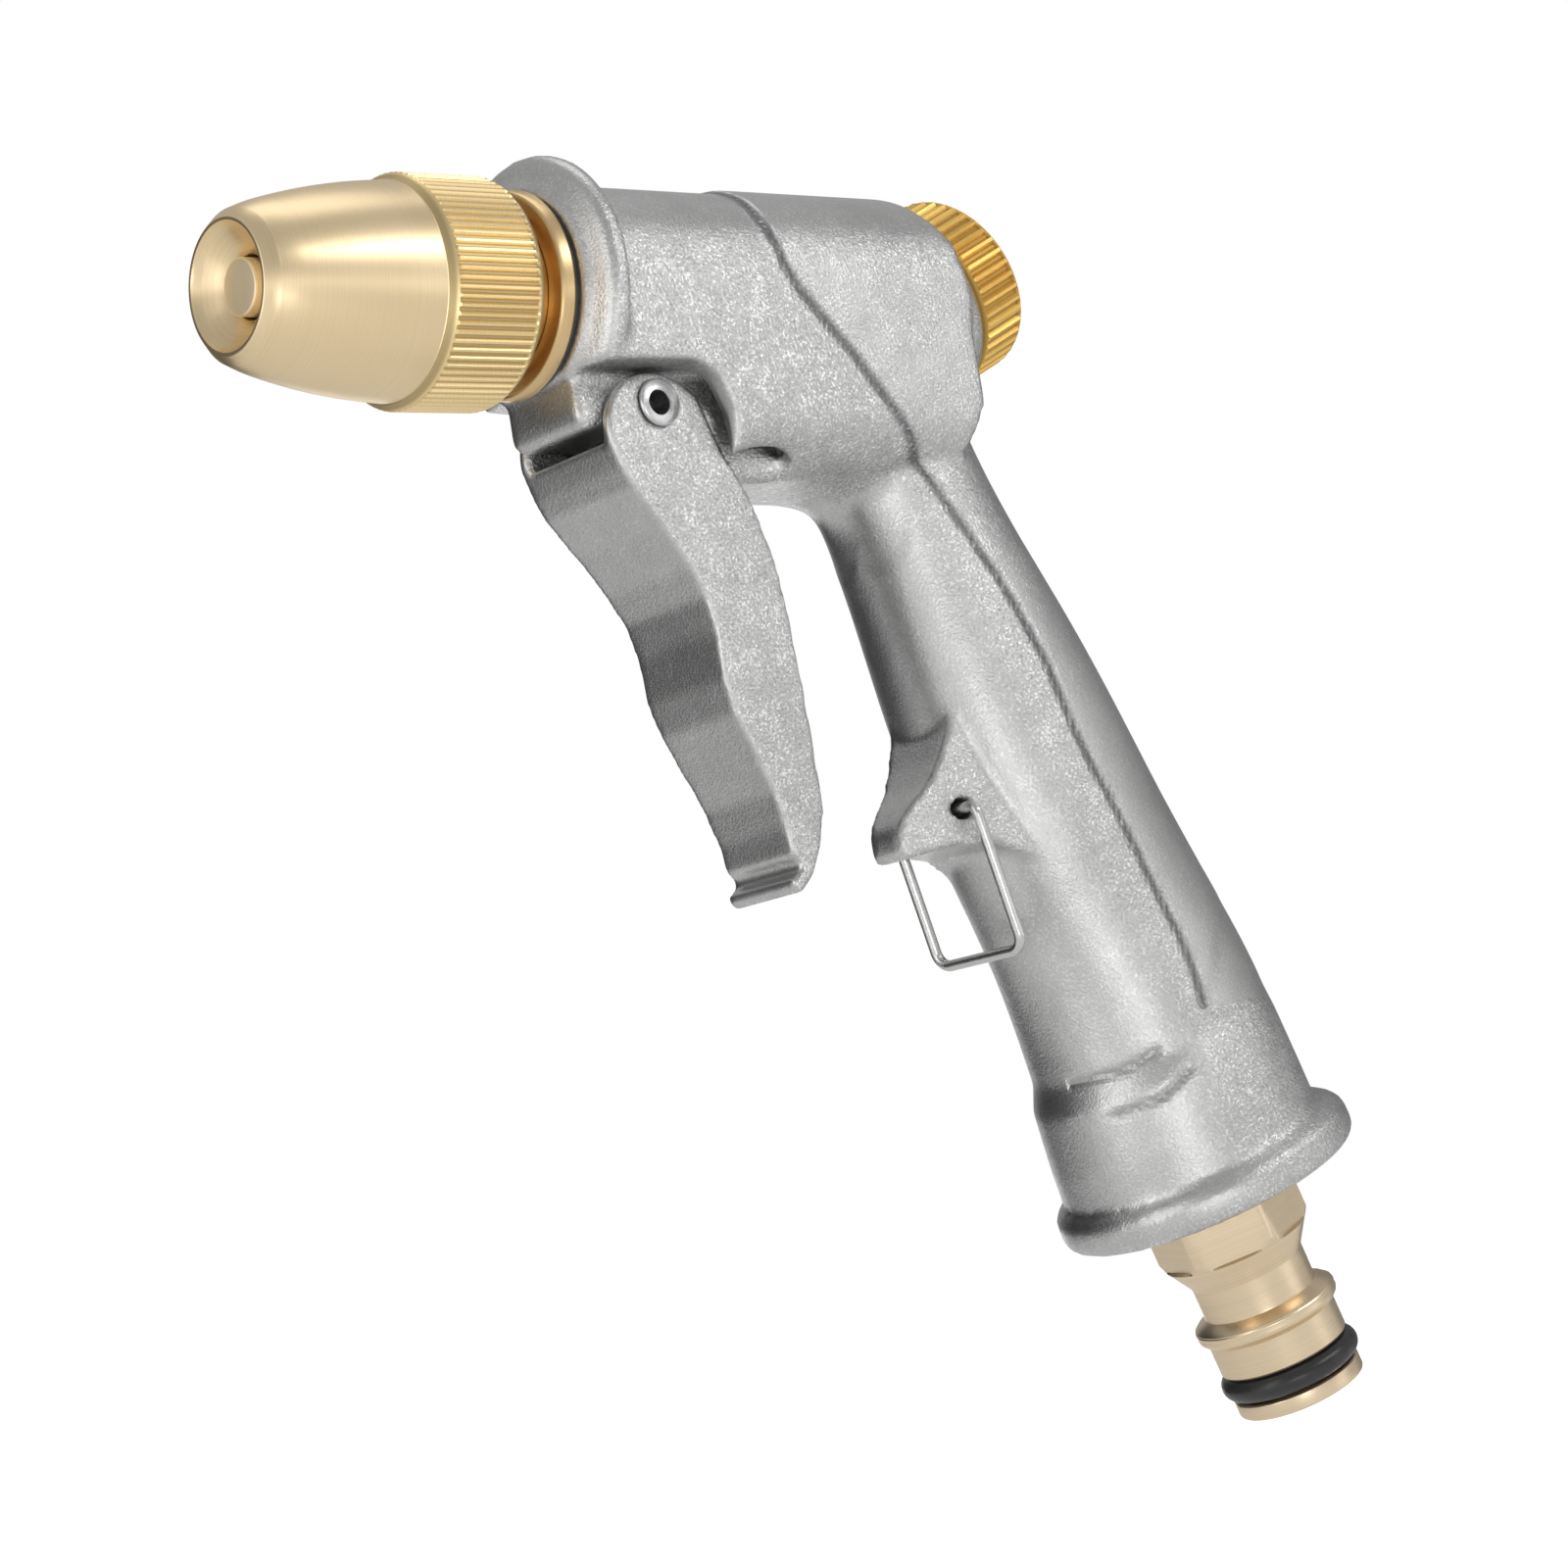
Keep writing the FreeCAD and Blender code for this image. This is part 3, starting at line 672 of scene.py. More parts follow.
def spun(profile: Sequence[Point], steps: int, closed: bool = False) -> bmesh.types.BMesh:
    """Spins a profile about the X axis.

    Args:
        profile: (distance, radius) points in millimetres.
        steps: How many steps go round.
        closed: Whether the profile is a closed loop away from the axis.

    Returns:
        The turned shape as a bmesh about X.
    """
    bm = bmesh.new()
    points = [bm.verts.new((s * MM, 0.0, r * MM)) for s, r in profile]
    edges = [bm.edges.new(pair) for pair in zip(points, points[1:])]
    if closed:
        edges.append(bm.edges.new((points[-1], points[0])))
    bmesh.ops.spin(
        bm, geom=points + edges, cent=(0, 0, 0), axis=(1, 0, 0), angle=math.tau, steps=steps, use_merge=True
    )
    bmesh.ops.remove_doubles(bm, verts=bm.verts[:], dist=SPUN_WELD_M)
    bmesh.ops.recalc_face_normals(bm, faces=bm.faces[:])
    return bm


def curve_through(knots: Sequence[Point], per_span: int = 5) -> list[Point]:
    """A smooth run of profile points through a few knots.

    Args:
        knots: (distance, radius) points.
        per_span: How many points each span gets.

    Returns:
        The points, both ends included.
    """

    def between(p: float, q: float, r: float, s: float, t: float) -> float:
        """A smooth step from q to r, where p and s are the numbers either side."""
        bend, twist = 2 * p - 5 * q + 4 * r - s, 3 * q - p - 3 * r + s
        return 0.5 * (2 * q + (r - p) * t + bend * t * t + twist * t**3)

    ends = [knots[0], *knots, knots[-1]]
    points: list[Point] = []
    for four in zip(ends, ends[1:], ends[2:], ends[3:]):
        for i in range(per_span):
            points.append(tuple(between(*numbers, i / per_span) for numbers in zip(*four)))
    points.append(knots[-1])
    return points


def arc(centre: Point, radius: float, start_deg: float, end_deg: float, count: int = 6) -> list[Point]:
    """Makes profile points on an arc.

    Args:
        centre: The arc's centre, as (distance, radius).
        radius: The arc's own radius.
        start_deg: Where it starts, in degrees from the direction of growing distance.
        end_deg: Where it ends.
        count: How many steps it has.

    Returns:
        The points, both ends included.
    """
    turns = [math.radians(start_deg + (end_deg - start_deg) * i / count) for i in range(count + 1)]
    return [(centre[0] + radius * math.cos(turn), centre[1] + radius * math.sin(turn)) for turn in turns]


def knurl(bm: bmesh.types.BMesh, low: float, high: float, above: float, teeth: int, depth: float) -> None:
    """Presses straight knurling into a turned shape that has four steps to each tooth.

    Args:
        bm: The shape about X.
        low: Where the knurling starts, in millimetres.
        high: Where it ends.
        above: Only points further out than this move.
        teeth: How many teeth go round.
        depth: How deep the valleys are.
    """
    step = math.tau / (4 * teeth)
    for v in bm.verts:
        radius = math.hypot(v.co.y, v.co.z)
        if not (low * MM <= v.co.x <= high * MM and radius > above * MM):
            continue
        phase = round(math.atan2(v.co.y, v.co.z) / step) % 4
        if phase in (2, 3):
            v.co.yz = Vector((v.co.y, v.co.z)) * (1 - depth * MM / radius)


def onto(bm: bmesh.types.BMesh, line: Line) -> bmesh.types.BMesh:
    """Moves a shape made about X onto a line."""
    bmesh.ops.transform(bm, matrix=line.matrix(), verts=bm.verts[:])
    return bm


def cast_copy(node: str, voxel_mm: float, rounds: int, most_faces: int) -> bpy.types.Mesh:
    """Copies a CAD node and gives it the soft edges of a casting.

    Args:
        node: The node to copy.
        voxel_mm: The size of the even mesh it is rebuilt with.
        rounds: How many rounds of smoothing it gets.
        most_faces: The mesh is thinned to this many triangles.

    Returns:
        The new mesh, in the row frame.
    """
    holder = into_scene(node + "_cast", as_mesh(welded(node), node + "_cast"))
    remesh = holder.modifiers.new("even", "REMESH")
    remesh.mode = "VOXEL"
    remesh.voxel_size = voxel_mm * MM
    smooth = holder.modifiers.new("soft", "SMOOTH")
    smooth.factor = 0.5
    smooth.iterations = rounds
    even = as_shown(holder)
    holder.modifiers.clear()
    holder.data = even
    triangles = sum(len(f.vertices) - 2 for f in even.polygons)
    if triangles > most_faces:
        thin = holder.modifiers.new("thin", "DECIMATE")
        thin.ratio = most_faces / triangles
    done = as_shown(holder)
    bpy.data.objects.remove(holder)
    return done


def set_mark(mesh: bpy.types.Mesh, name: str, values: np.ndarray) -> None:
    """Stores one number per point on a mesh."""
    mark = mesh.attributes.new(name, "FLOAT", "POINT")
    mark.data.foreach_set("value", values.astype(np.float32))


def far_from(points: np.ndarray, path: np.ndarray) -> np.ndarray:
    """Distances of flat points from a path of straight runs.

    Args:
        points: An (n, 2) array.
        path: An (m, 2) array of the path's corners.

    Returns:
        The n distances.
    """
    best = np.full(len(points), np.inf)
    for a, b in zip(path, path[1:]):
        run = b - a
        t = np.clip((points - a) @ run / (run @ run), 0, 1)
        best = np.minimum(best, np.linalg.norm(points - (a + t[:, None] * run), axis=1))
    return best


# ---- sub-assemblies ----------------------------------------------------------------------------------
@dataclass
class Casting:
    """The die-cast gun body with its raised rear panel, panel groove and casting creases."""

    voxel_mm: float = 0.55
    rounds: int = 5
    groove_half_mm: float = 0.42
    crease_half_mm: float = 0.55
    calm_edge_mm: float = 1.5
    brow_mm: float = 13.5
    belly_mm: float = -16.0
    flange_mm: float = 108.5
    panel_line: tuple[Point, ...] = (
        (17.2, 12.6), (17.8, 9.5), (18.0, 6.5), (19.0, 1.0), (20.6, -1.8), (23.0, -4.6), (27.1, -9.2),
        (31.0, -14.4), (34.4, -18.3), (38.2, -23.0), (42.4, -29.8), (45.2, -34.8), (47.3, -39.6),
        (49.2, -44.4), (51.4, -53.0), (53.5, -58.4), (55.6, -63.1), (57.5, -67.8), (59.2, -72.5),
        (61.0, -77.3), (62.1, -82.0), (62.7, -86.1),
    )
    creases: tuple[tuple[Point, ...], ...] = (
        ((52.8, -92.6), (55.0, -92.0), (57.2, -90.6)),
        ((54.2, -97.0), (57.0, -95.8), (59.6, -93.2)),
    )
    blends: tuple[tuple[Triple, float, int], ...] = (
        ((28.5, -5.5, -27.5), 8.0, 90), ((28.5, 5.5, -27.5), 8.0, 90), ((27.0, 0.0, -26.5), 6.5, 90),
        ((14.4, -9.0, -20.8), 4.7, 120), ((14.4, 9.0, -20.8), 4.7, 120),
    )

    def build(self, wardrobe: Wardrobe) -> bpy.types.Object:
        """Builds and dresses the casting.

        Args:
            wardrobe: Where materials come from.

        Returns:
            The casting piece.
        """
        mesh = cast_copy("body_casting", self.voxel_mm, self.rounds, most_faces=190_000)
        co = (read_triples(mesh.vertices, "co") - np.array(BARREL.root)) / MM
        normals = read_triples(mesh.vertex_normals, "vector")
        side = co[:, (0, 2)]
        line = np.array(self.panel_line)
        gap = far_from(side, line)
        shown = np.clip((np.abs(normals[:, 1]) - 0.05) / 0.15, 0, 1)
        shown = np.maximum(shown, (co[:, 2] > 4) * 1.0)
        # The line and crease marks dent the casting and carry its painted shade.
        set_mark(mesh, "line", np.exp(-((gap / self.groove_half_mm) ** 2)) * shown)
        crease = np.zeros(len(co))
        for path in self.creases:
            away = far_from(side, np.array(path)) / self.crease_half_mm
            crease = np.maximum(crease, np.exp(-(away**2)))
        set_mark(mesh, "crease", crease * (co[:, 1] < 0))
        set_mark(mesh, "smooth", self._calm(co, normals, line))
        bm = bmesh.new()
        bm.from_mesh(mesh)
        for place, reach, rounds in self.blends:
            near = [v for v in bm.verts if (v.co - spot(*place)).length < reach * MM]
            for _ in range(rounds):
                bmesh.ops.smooth_vert(
                    bm, verts=near, factor=0.5, use_axis_x=True, use_axis_y=True, use_axis_z=True
                )
        piece = finish_piece(bm, "body_shell", "body", ["body_casting"], sharp_deg=60.0)
        wardrobe.dress(piece, Finish.CASTING)
        return piece

    def _calm(self, co: np.ndarray, normals: np.ndarray, line: np.ndarray) -> np.ndarray:
        """Works out how smooth each point is: top, rear panel, front and foot are calmer than the sides.

        Args:
            co: The points, in millimetres from the barrel's axis.
            normals: Their normals.
            line: The edge of the rear panel, seen from the side.

        Returns:
            A number from 0 to 1 for each point.
        """
        top = np.clip((normals[:, 2] - 0.15) / 0.5, 0, 1) * (co[:, 2] > self.belly_mm)
        edge = np.interp(co[:, 2], line[::-1, 1], line[::-1, 0], left=90.0, right=line[0, 0])
        panel = np.clip((co[:, 0] - edge) / self.calm_edge_mm, 0, 1) * (co[:, 2] < self.brow_mm)
        panel = panel * np.interp(co[:, 2], (-50.0, -25.0), (0.85, 0.30))
        down = (co - np.array(SPIGOT.root - BARREL.root) / MM) @ np.array(SPIGOT.direction)
        foot = (down > self.flange_mm) * 0.25
        front = np.clip((-normals[:, 0] - 0.25) / 0.4, 0, 1)
        return np.clip(np.maximum.reduce([top * 0.8, panel, front * 0.8, foot]), 0, 1)


@dataclass
class Lever:
    """The squeeze trigger: a cast channel with a finger face, swinging on its hollow rivet."""

    voxel_mm: float = 0.36
    rounds: int = 16
    half_mm: float = 8.7

    def build(self, wardrobe: Wardrobe) -> None:
        """Builds the lever and its rivet.

        Args:
            wardrobe: Where materials come from.
        """
        mesh = cast_copy("trigger_lever", self.voxel_mm, self.rounds, most_faces=120_000)
        normals = read_triples(mesh.vertex_normals, "vector")
        set_mark(mesh, "smooth", np.clip((-normals[:, 0] - 0.35) / 0.3, 0, 1) * 0.85)
        bm = bmesh.new()
        bm.from_mesh(mesh)
        lever = finish_piece(bm, "trigger", "trigger", ["trigger_lever"], sharp_deg=70.0)
        wardrobe.dress(lever, Finish.LEVER)
        wardrobe.dress(self._rivet(), Finish.RIVET)

    def _rivet(self) -> bpy.types.Object:
        """Builds the hollow rivet, with its rolled heads.

        Returns:
            The rivet piece.
        """
        half = self.half_mm
        roll = arc((half + 0.22, 2.3), 0.37, 20, 160, 8)
        rim = [(half + 0.02, 2.0), (half + 0.02, 2.6), *roll, (half + 0.2, 1.42)]
        profile = [(-s, r) for s, r in reversed(rim)] + rim
        bm = spun(profile[::-1], 56, closed=True)
        line = Line.of_joint("trigger_pivot", 0.0)
        return finish_piece(onto(bm, line), "rivet", "body", ["pivot_rivet"], sharp_deg=50.0)


@dataclass
class Bail:
    """The hold-open wire, hung in the lug."""

    wire_mm: float = 0.65
    half_mm: float = 7.2
    length_mm: float = 17.2
    hang_deg: float = 13.0
    corner_mm: float = 1.8
    shoulder_mm: float = 1.1
    inner_mm: float = 3.6
    bend_steps: int = 8

    def build(self, wardrobe: Wardrobe) -> bpy.types.Object:
        """Builds the bent wire.

        Args:
            wardrobe: Where materials come from.

        Returns:
            The wire piece.
        """
        pivot = Line.of_joint("bail_swing", 0.0).root
        across = Vector((0, 1, 0))
        hang = math.radians(self.hang_deg)
        down = Vector((math.sin(hang), 0, -math.cos(hang)))
        corners = [
            (across * -self.inner_mm, 0.0),
            (across * -self.half_mm, self.shoulder_mm),
            (across * -self.half_mm + down * self.length_mm, self.corner_mm),
            (across * self.half_mm + down * self.length_mm, self.corner_mm),
            (across * self.half_mm, self.shoulder_mm),
            (across * self.inner_mm, 0.0),
        ]
        wire = bpy.data.curves.new("bail_wire", "CURVE")
        wire.dimensions = "3D"
        wire.bevel_depth = self.wire_mm * MM
        wire.bevel_resolution = 8
        wire.use_fill_caps = True
        spline = wire.splines.new("POLY")
        path = self._rounded([(c * MM, r * MM) for c, r in corners])
        spline.points.add(len(path) - 1)
        for point, place in zip(spline.points, path):
            point.co = (*(pivot + place), 1.0)
        holder = into_scene("bail_wire", wire)
        bm = bmesh.new()
        bm.from_mesh(as_shown(holder))
        bpy.data.objects.remove(holder)
        piece = finish_piece(bm, "bail", "bail", ["wire_bail"], sharp_deg=60.0)
        wardrobe.dress(piece, Finish.WIRE)
        return piece

    def _rounded(self, corners: Sequence[tuple[Vector, float]]) -> list[Vector]:
        """Rounds the corners of a path.

        Args:
            corners: Each corner with its bend radius.

        Returns:
            The path's points.
        """
        path = [corners[0][0]]
        for (before, _), (here, radius), (after, _) in zip(corners, corners[1:], corners[2:]):
            back = (before - here).normalized()
            on = (after - here).normalized()
            centre = here + (back + on) * radius
            for i in range(self.bend_steps + 1):
                turn = math.radians(90 * i / self.bend_steps)
                path.append(centre - on * radius * math.cos(turn) - back * radius * math.sin(turn))
        path.append(corners[-1][0])
        return path


@dataclass
class SprayHead:
    """The twist head with its knurled collar, the pin in its mouth, its ring, gasket and tube."""

    collar_mm: float = 12.75
    teeth: int = 80
    depth_mm: float = 0.36
    mouth_mm: float = 7.0
    bore_mm: float = 8.95
    nose: tuple[Point, ...] = ((-45.3, 8.3), (-42.5, 9.3), (-37.3, 10.55), (-32.1, 11.4), (-27.2, 11.86))

    def build(self, wardrobe: Wardrobe) -> None:
        """Builds the head, pin, lock ring and gasket.

        Args:
            wardrobe: Where materials come from.
        """
        self._head(wardrobe)
        pin = spun([
            (-44.8, 0.0), (-44.8, 2.85), *arc((-44.55, 2.85), 0.25, 180, 90, 4), (-41.9, 3.1), (-40.0, 1.7),
            (-34.0, 1.7), (-33.0, 5.35), (-29.5, 5.35), (-29.5, 0.0),
        ], 64)
        piece = finish_piece(onto(pin, BARREL), "mouth_pin", "body", ["centre_pin"])
        wardrobe.dress(piece, Finish.PIN)
        ring = spun([
            (-11.5, 9.0), (-11.5, 10.7), *arc((-11.1, 10.95), 0.42, 180, 110, 3), (-10.7, 11.5),
            (-9.95, 11.55), (-9.5, 11.2), (-9.5, 9.0),
        ], 96, closed=True)
        piece = finish_piece(onto(ring, BARREL), "lock_ring", "body", ["gland_ring"], 25.0)
        wardrobe.dress(piece, Finish.GLAND)
        rubber = [(-9.5, 8.96), (-9.5, 11.05), (-9.25, 11.15), (-9.0, 11.05), (-9.0, 8.96)]
        gasket = spun(rubber, 96, closed=True)
        piece = finish_piece(onto(gasket, BARREL), "gasket", "body", ["front_gasket"])
        wardrobe.dress(piece, Finish.RUBBER)
        wardrobe.dress_node("spray_tube", Finish.TUBE_IN_SHADE)
        wardrobe.dress_node("nozzle_o_ring", Finish.RUBBER)

    def _head(self, wardrobe: Wardrobe) -> None:
        """Builds the bullet nose, its mouth cone and the knurled collar, in one turned piece.

        Args:
            wardrobe: Where materials come from.
        """
        collar, mouth, bore = self.collar_mm, self.mouth_mm, self.bore_mm
        outside = [
            (-46.42, 6.85), *arc((-46.2, 7.1), 0.25, 180, 120, 3), (-46.1, 7.55),
            *curve_through(self.nose, 6), (-26.75, 11.9), (-26.7, 12.0), (-25.75, collar - 0.12),
            (-25.5, collar), (-25.45, collar),
            (-23.0, collar), (-19.0, collar), (-15.5, collar), (-15.45, collar), (-15.2, collar - 0.1),
            (-14.45, 12.15), (-14.35, 12.0),
        ]
        inside = [
            (-14.35, 9.1), (-14.3, bore), (-24.2, bore), (-24.6, mouth), (-26.3, mouth), (-26.3, 8.55),
            (-28.4, 8.55), (-28.4, mouth), (-38.6, mouth), (-41.6, 3.45), (-43.3, 3.45), (-43.5, 3.6),
            (-44.4, 4.72), (-45.4, 5.95), (-46.2, 6.75),
        ]
        bm = spun(outside + inside, 4 * self.teeth, closed=True)
        knurl(bm, -25.6, -15.3, collar - 0.06, self.teeth, self.depth_mm)
        piece = finish_piece(onto(bm, BARREL), "spray_head", "nozzle", ["nozzle_head"], 24.0)
        wardrobe.dress(piece, Finish.NOSE, Finish.COLLAR)
        start, out = -26.7 * MM, 11.95 * MM
        for polygon in piece.data.polygons:
            place = polygon.center - BARREL.root
            if place.x > start and math.hypot(place.y, place.z) > out:
                polygon.material_index = 1


@dataclass
class FlowKnob:
    """The knurled flow knob on the valve line, with its seal."""

    radius_mm: float = 10.8
    plug_mm: float = 7.9
    end_mm: float = 61.2
    teeth: int = 44
    depth_mm: float = 0.5

    def build(self, wardrobe: Wardrobe) -> None:
        """Builds the knob.

        Args:
            wardrobe: Where materials come from.
        """
        r, end, plug = self.radius_mm, self.end_mm, self.plug_mm
        profile = [
            (43.2, 0.0), (43.2, plug - 0.5), (43.7, plug), (45.4, plug), (45.4, 6.2), (47.3, 6.2),
            (47.3, plug), (53.9, plug), (53.9, 9.9), (54.3, r - 0.15), (54.5, r), (54.55, r), (57.0, r),
            (end - 0.75, r), (end - 0.7, r), (end - 0.5, r - 0.12), (end - 0.05, r - 0.62), (end, r - 0.8),
            (end, 8.6), (end - 0.12, 8.4), (end, 8.2), (end, 3.2), (end - 0.3, 2.8), (end - 0.6, 2.5),
            (end - 0.6, 0.0),
        ]
        bm = spun(profile, 4 * self.teeth)
        knurl(bm, 54.4, end - 0.6, r - 0.06, self.teeth, self.depth_mm)
        piece = finish_piece(onto(bm, VALVE), "flow_knob", "knob", ["adjuster_knob"], 24.0)
        wardrobe.dress(piece, Finish.KNOB)
        wardrobe.dress_node("knob_o_ring", Finish.RUBBER)


@dataclass
class HoseSpigot:
    """The brass quick-connect end, with its hexagon, locking ridge and O-ring."""

    flats_mm: float = 8.35
    corner_mm: float = 9.45
    hex_mm: Point = (114.1, 121.0)
    bore_mm: float = 8.0
    steps: int = 144
    turn_deg: float = 12.0

    def build(self, wardrobe: Wardrobe) -> None:
        """Builds the spigot and its O-ring.

        Args:
            wardrobe: Where materials come from.
        """
        corner = self.corner_mm
        profile = [
            (101.1, 4.4), (101.1, 7.7), (101.8, 8.25), (113.0, 8.25), (113.6, 7.7), (113.95, 7.9),
            (114.2, 8.45), (114.6, corner), (117.0, corner), (120.2, corner), (120.9, 9.1), (121.1, 8.95),
            (123.9, 7.2), (124.3, 7.05), (124.6, 7.05), (128.0, 7.05), (128.35, 7.1), (128.9, 8.25),
            (129.35, 8.8), *arc((129.7, 8.55), 0.35, 135, 60, 3), (130.4, 8.88), (130.75, 8.75), (131.2, 8.3),
            (131.45, 8.0), (135.2, 8.0), (135.45, 7.85), (135.5, 7.6), (135.5, 5.7), (138.8, 5.7),
            (138.8, 7.7), (138.95, 7.9), (139.1, 7.95), (140.55, 7.95), (140.74, 7.86), (140.8, 7.7),
            (140.8, 5.7), (140.2, 4.4),
        ]
        bm = spun(profile, self.steps, closed=True)
        self._flatten(bm)
        piece = finish_piece(onto(bm, SPIGOT), "spigot", "body", ["hose_connector"], 20.0)
        wardrobe.dress(piece, Finish.SPIGOT)
        seal = spun(arc((137.13, 7.23), 1.47, 0, 345, 23), 96, closed=True)
        piece = finish_piece(onto(seal, SPIGOT), "spigot_seal", "body", ["connector_o_ring"])
        wardrobe.dress(piece, Finish.RUBBER)
        wardrobe.dress_node("connector_gasket", Finish.RUBBER)

    def _flatten(self, bm: bmesh.types.BMesh) -> None:
        """Presses six flats into the hexagon's stretch.

        Args:
            bm: The spigot about X.
        """
        low, high = self.hex_mm
        for v in bm.verts:
            radius = math.hypot(v.co.y, v.co.z)
            if not low * MM < v.co.x < high * MM or radius < self.bore_mm * MM:
                continue
            angle = math.degrees(math.atan2(v.co.y, v.co.z)) - self.turn_deg
            nearest = (angle % 60.0) - 30.0
            flat = self.flats_mm * MM / math.cos(math.radians(nearest))
            if radius > flat:
                v.co.yz = Vector((v.co.y, v.co.z)) * (flat / radius)


@dataclass
class ValveTrain:
    """The valve inside the gun: stem, seat, washer, plug, nut, seals and the return spring."""

    keep: float = 0.86
    spring_seat_mm: float = 50.15

    def build(self, wardrobe: Wardrobe) -> bpy.types.Object:
        """Dresses the valve's nodes and makes the return spring, with a mesh of its own.

        Args:
            wardrobe: Where materials come from.

        Returns:
            The spring piece.
        """
        for node in ("stem_bushing", "valve_seat", "valve_plug", "stem_nut"):
            wardrobe.dress_node(node, Finish.VALVE)
        for node in ("stem_o_ring", "valve_washer"):
            wardrobe.dress_node(node, Finish.RUBBER)
        wardrobe.dress_node("valve_stem", Finish.WIRE)
        bm = welded("valve_spring")
        spring = finish_piece(bm, "return_spring", "body", ["valve_spring"], 50.0)
        wardrobe.dress(spring, Finish.SPRING)
        seat = VALVE.at(self.spring_seat_mm)
        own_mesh(spring)
        return spring


# ---- studio ------------------------------------------------------------------------------------------
@dataclass(frozen=True)
class Softbox:
    """One rectangular studio light."""

    name: str
    place_mm: Triple
    aim_mm: Triple
    wide_mm: float
    tall_mm: float
    watts: float

    def build(self) -> None:
        """Hangs the light and turns it to its aim."""
        lamp = bpy.data.lights.new(self.name, "AREA")
        lamp.shape = "RECTANGLE"
        lamp.size = self.wide_mm * MM
        lamp.size_y = self.tall_mm * MM
        lamp.energy = self.watts
        holder = into_scene(self.name, lamp)
        holder.visible_camera = False
        place, aim = spot(*self.place_mm), spot(*self.aim_mm)
        holder.location = place
        holder.rotation_euler = (aim - place).to_track_quat("-Z", "Y").to_euler()


@dataclass(frozen=True)
class Flag:
    """A card that only metal mirrors, out of the camera's sight."""

    name: str
    place_mm: Triple
    aim_mm: Triple
    wide_mm: float
    tall_mm: float
    grey: float
    glow: float = 0.0

    def build(self) -> None:
        """Stands the card facing its aim."""
        bm = bmesh.new()
        bmesh.ops.create_grid(bm, x_segments=1, y_segments=1, size=0.5)
        bmesh.ops.scale(bm, vec=(self.wide_mm * MM, self.tall_mm * MM, 1), verts=bm.verts[:])
        place, aim = spot(*self.place_mm), spot(*self.aim_mm)
        turn = (aim - place).to_track_quat("-Z", "Y").to_matrix().to_4x4()
        bmesh.ops.transform(bm, matrix=Matrix.Translation(place) @ turn, verts=bm.verts[:])
        card = into_scene(self.name, as_mesh(bm, self.name))
        paint = Graph(self.name).finish(
            Base_Color=colour(self.grey, self.grey, self.grey),
            Roughness=0.9,
            Emission_Color=colour(1.0, 1.0, 1.0),
            Emission_Strength=self.glow,
        )
        card.data.materials.append(paint)
        card.visible_camera = False
        card.visible_shadow = False
        card.visible_diffuse = False


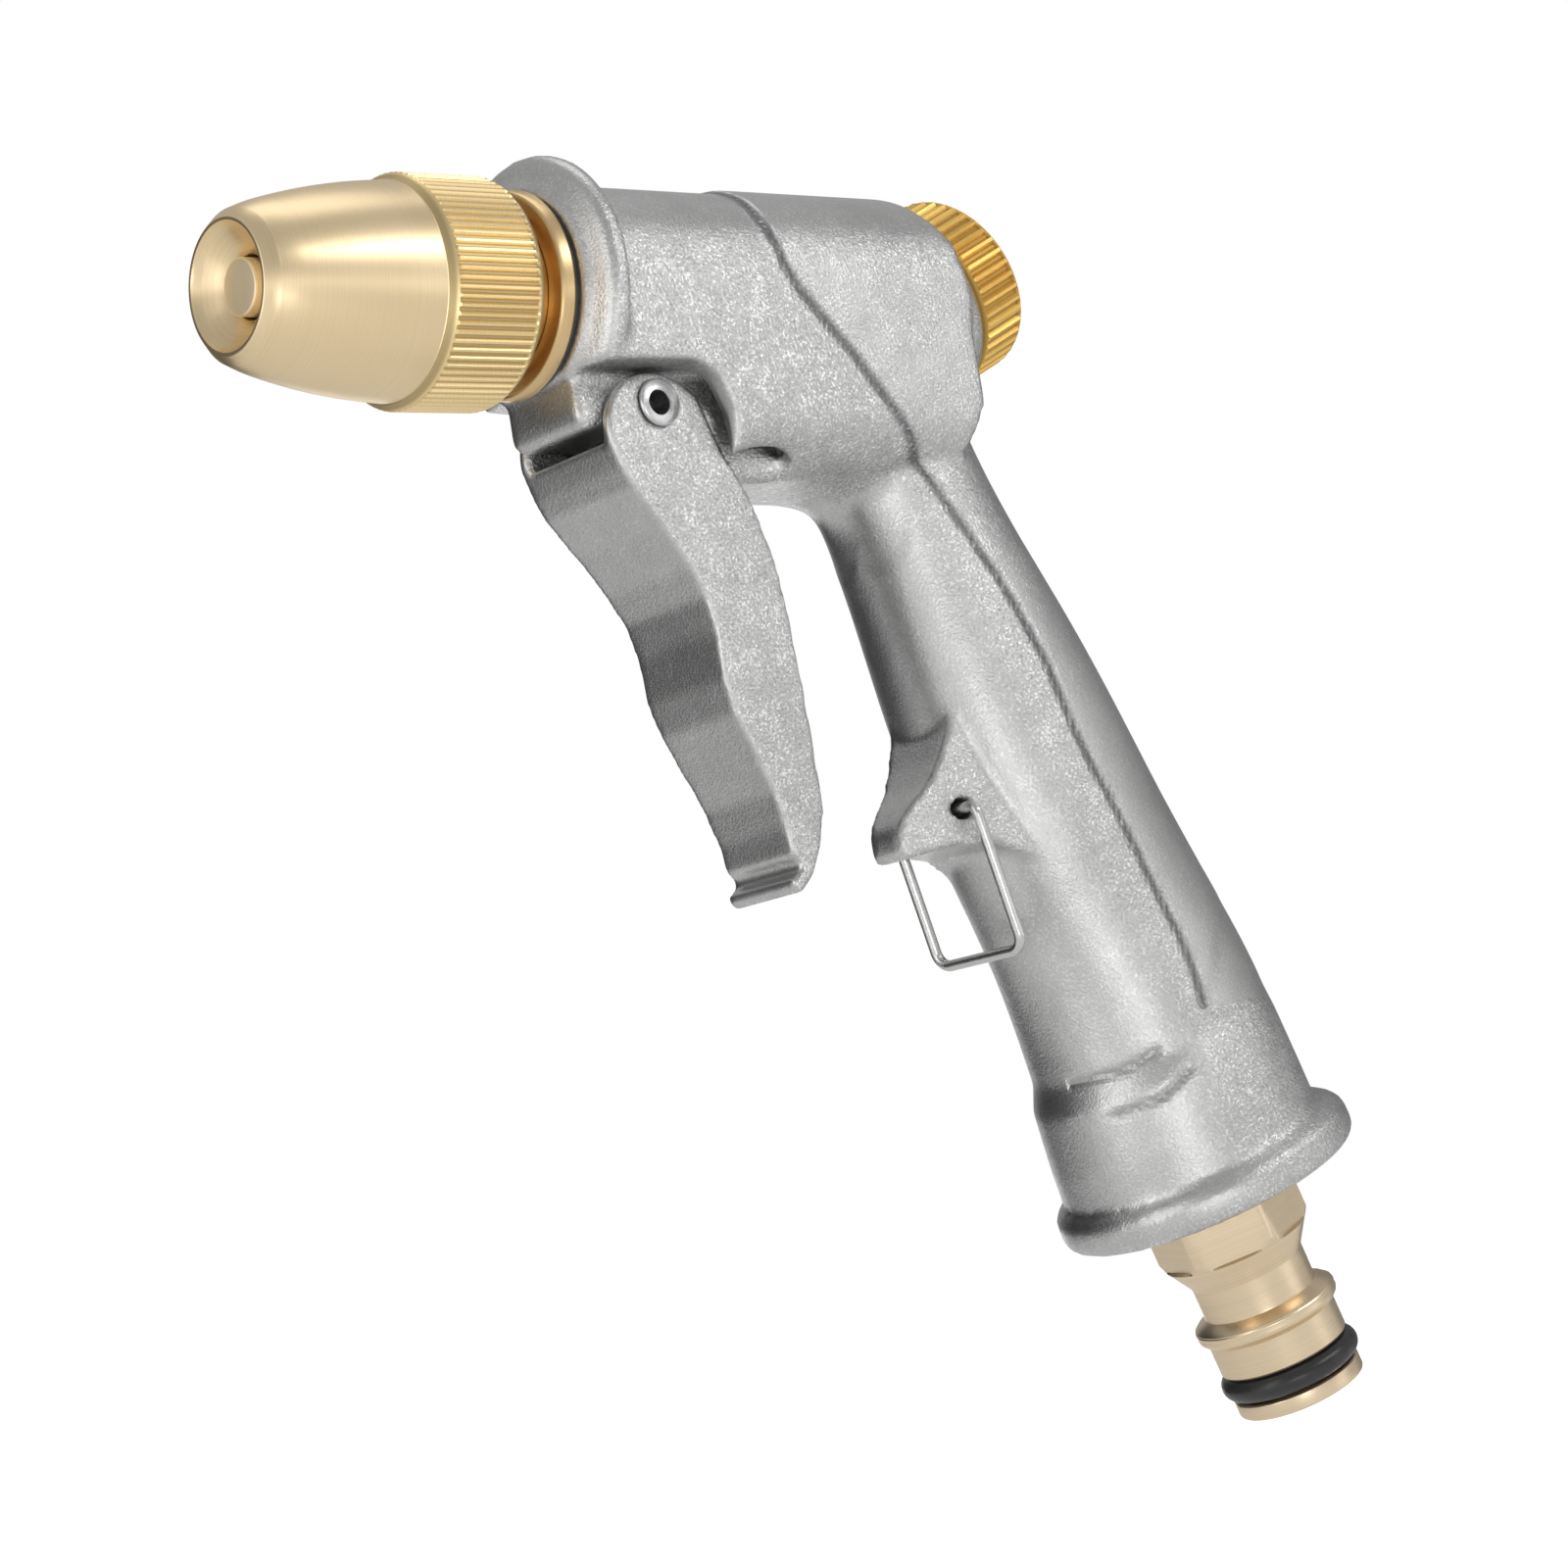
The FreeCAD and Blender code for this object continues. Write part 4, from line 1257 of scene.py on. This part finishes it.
@dataclass
class Studio:
    """The pale floor, the soft lights, the cards and the camera."""

    floor_drop_mm: float = 70.0
    floor_half_m: float = 6.0
    lens_mm: float = 96.75
    sensor_mm: float = 36.0
    heading_deg: float = 40.22
    rise_deg: float = 6.83
    roll_deg: float = 9.11
    camera_mm: Triple = (-283.8, -356.3, -111.3)
    world: float = 0.44
    lights: tuple[Softbox, ...] = (
        Softbox("streak", (145, -359, 203), (-35, 0, 0), 320, 70, 0.42),
        Softbox("top", (60, 40, 430), (-10, 0, 0), 320, 200, 0.22),
        Softbox("front", (-450, -10, 10), (20, 0, -60), 150, 420, 0.34),
        Softbox("side", (330, -420, 30), (30, 0, -50), 220, 400, 0.12),
        Softbox("fill", (-185, -303, -170), (30, 0, -75), 130, 110, 0.15),
    )
    flags: tuple[Flag, ...] = (
        Flag("flag_back", (-110, 420, -30), (30, 0, -60), 700, 520, 0.01),
        Flag("flag_right", (450, 130, -60), (30, 0, -60), 360, 600, 0.20),
        Flag("flag_low", (60, -60, -196), (60, -60, 0), 1600, 1600, 0.85, 0.14),
    )

    def build(self) -> None:
        """Builds the whole studio."""
        self._floor()
        self._world()
        for light in self.lights:
            light.build()
        for flag in self.flags:
            flag.build()
        self._camera()
        bpy.context.scene.view_settings.view_transform = "Standard"

    def _floor(self) -> None:
        """A pale floor that the object hangs above."""
        bm = bmesh.new()
        bmesh.ops.create_grid(bm, x_segments=4, y_segments=4, size=self.floor_half_m)
        low = CAD_BOX[0][2] - self.floor_drop_mm * MM
        bmesh.ops.translate(bm, vec=(0, 0, low), verts=bm.verts[:])
        floor = into_scene("floor", as_mesh(bm, "floor"))
        floor.data.materials.append(StudioPaint().material())

    def _world(self) -> None:
        """An even surround: white to the camera, dimmer to everything else."""
        world = bpy.data.worlds.new("studio")
        world.use_nodes = True
        tree = world.node_tree
        sky = tree.nodes["Background"]
        sky.inputs[0].default_value = colour(1.0, 1.0, 1.0)
        seen = tree.nodes.new("ShaderNodeLightPath")
        level = tree.nodes.new("ShaderNodeMapRange")
        level.inputs["To Min"].default_value = self.world
        tree.links.new(seen.outputs["Is Camera Ray"], level.inputs["Value"])
        tree.links.new(level.outputs[0], sky.inputs[1])
        bpy.context.scene.world = world

    def _camera(self) -> None:
        """The camera: turned by its heading and rise, then rolled."""
        heading, rise, roll = (math.radians(a) for a in (self.heading_deg, self.rise_deg, self.roll_deg))
        ahead = Vector((math.sin(heading), math.cos(heading), 0))
        level = Vector((math.cos(heading), -math.sin(heading), 0))
        view = ahead * math.cos(rise) + Vector((0, 0, math.sin(rise)))
        up = level.cross(view)
        right = level * math.cos(roll) - up * math.sin(roll)
        up = right.cross(view)
        turn = Matrix((right, up, -view)).transposed().to_4x4()
        lens = bpy.data.cameras.new("camera")
        lens.lens = self.lens_mm
        lens.sensor_width = self.sensor_mm
        lens.clip_start = 0.01
        lens.clip_end = 50.0
        camera = into_scene("camera", lens)
        camera.matrix_world = Matrix.Translation(spot(*self.camera_mm)) @ turn
        bpy.context.scene.camera = camera


def main() -> None:
    """Builds every sub-assembly in order, then the studio."""
    logging.basicConfig(level=logging.INFO, format="%(name)s %(message)s")
    wardrobe = Wardrobe()
    Casting().build(wardrobe)
    Lever().build(wardrobe)
    Bail().build(wardrobe)
    SprayHead().build(wardrobe)
    FlowKnob().build(wardrobe)
    HoseSpigot().build(wardrobe)
    ValveTrain().build(wardrobe)
    Studio().build()


if __name__ == "__main__":
    main()
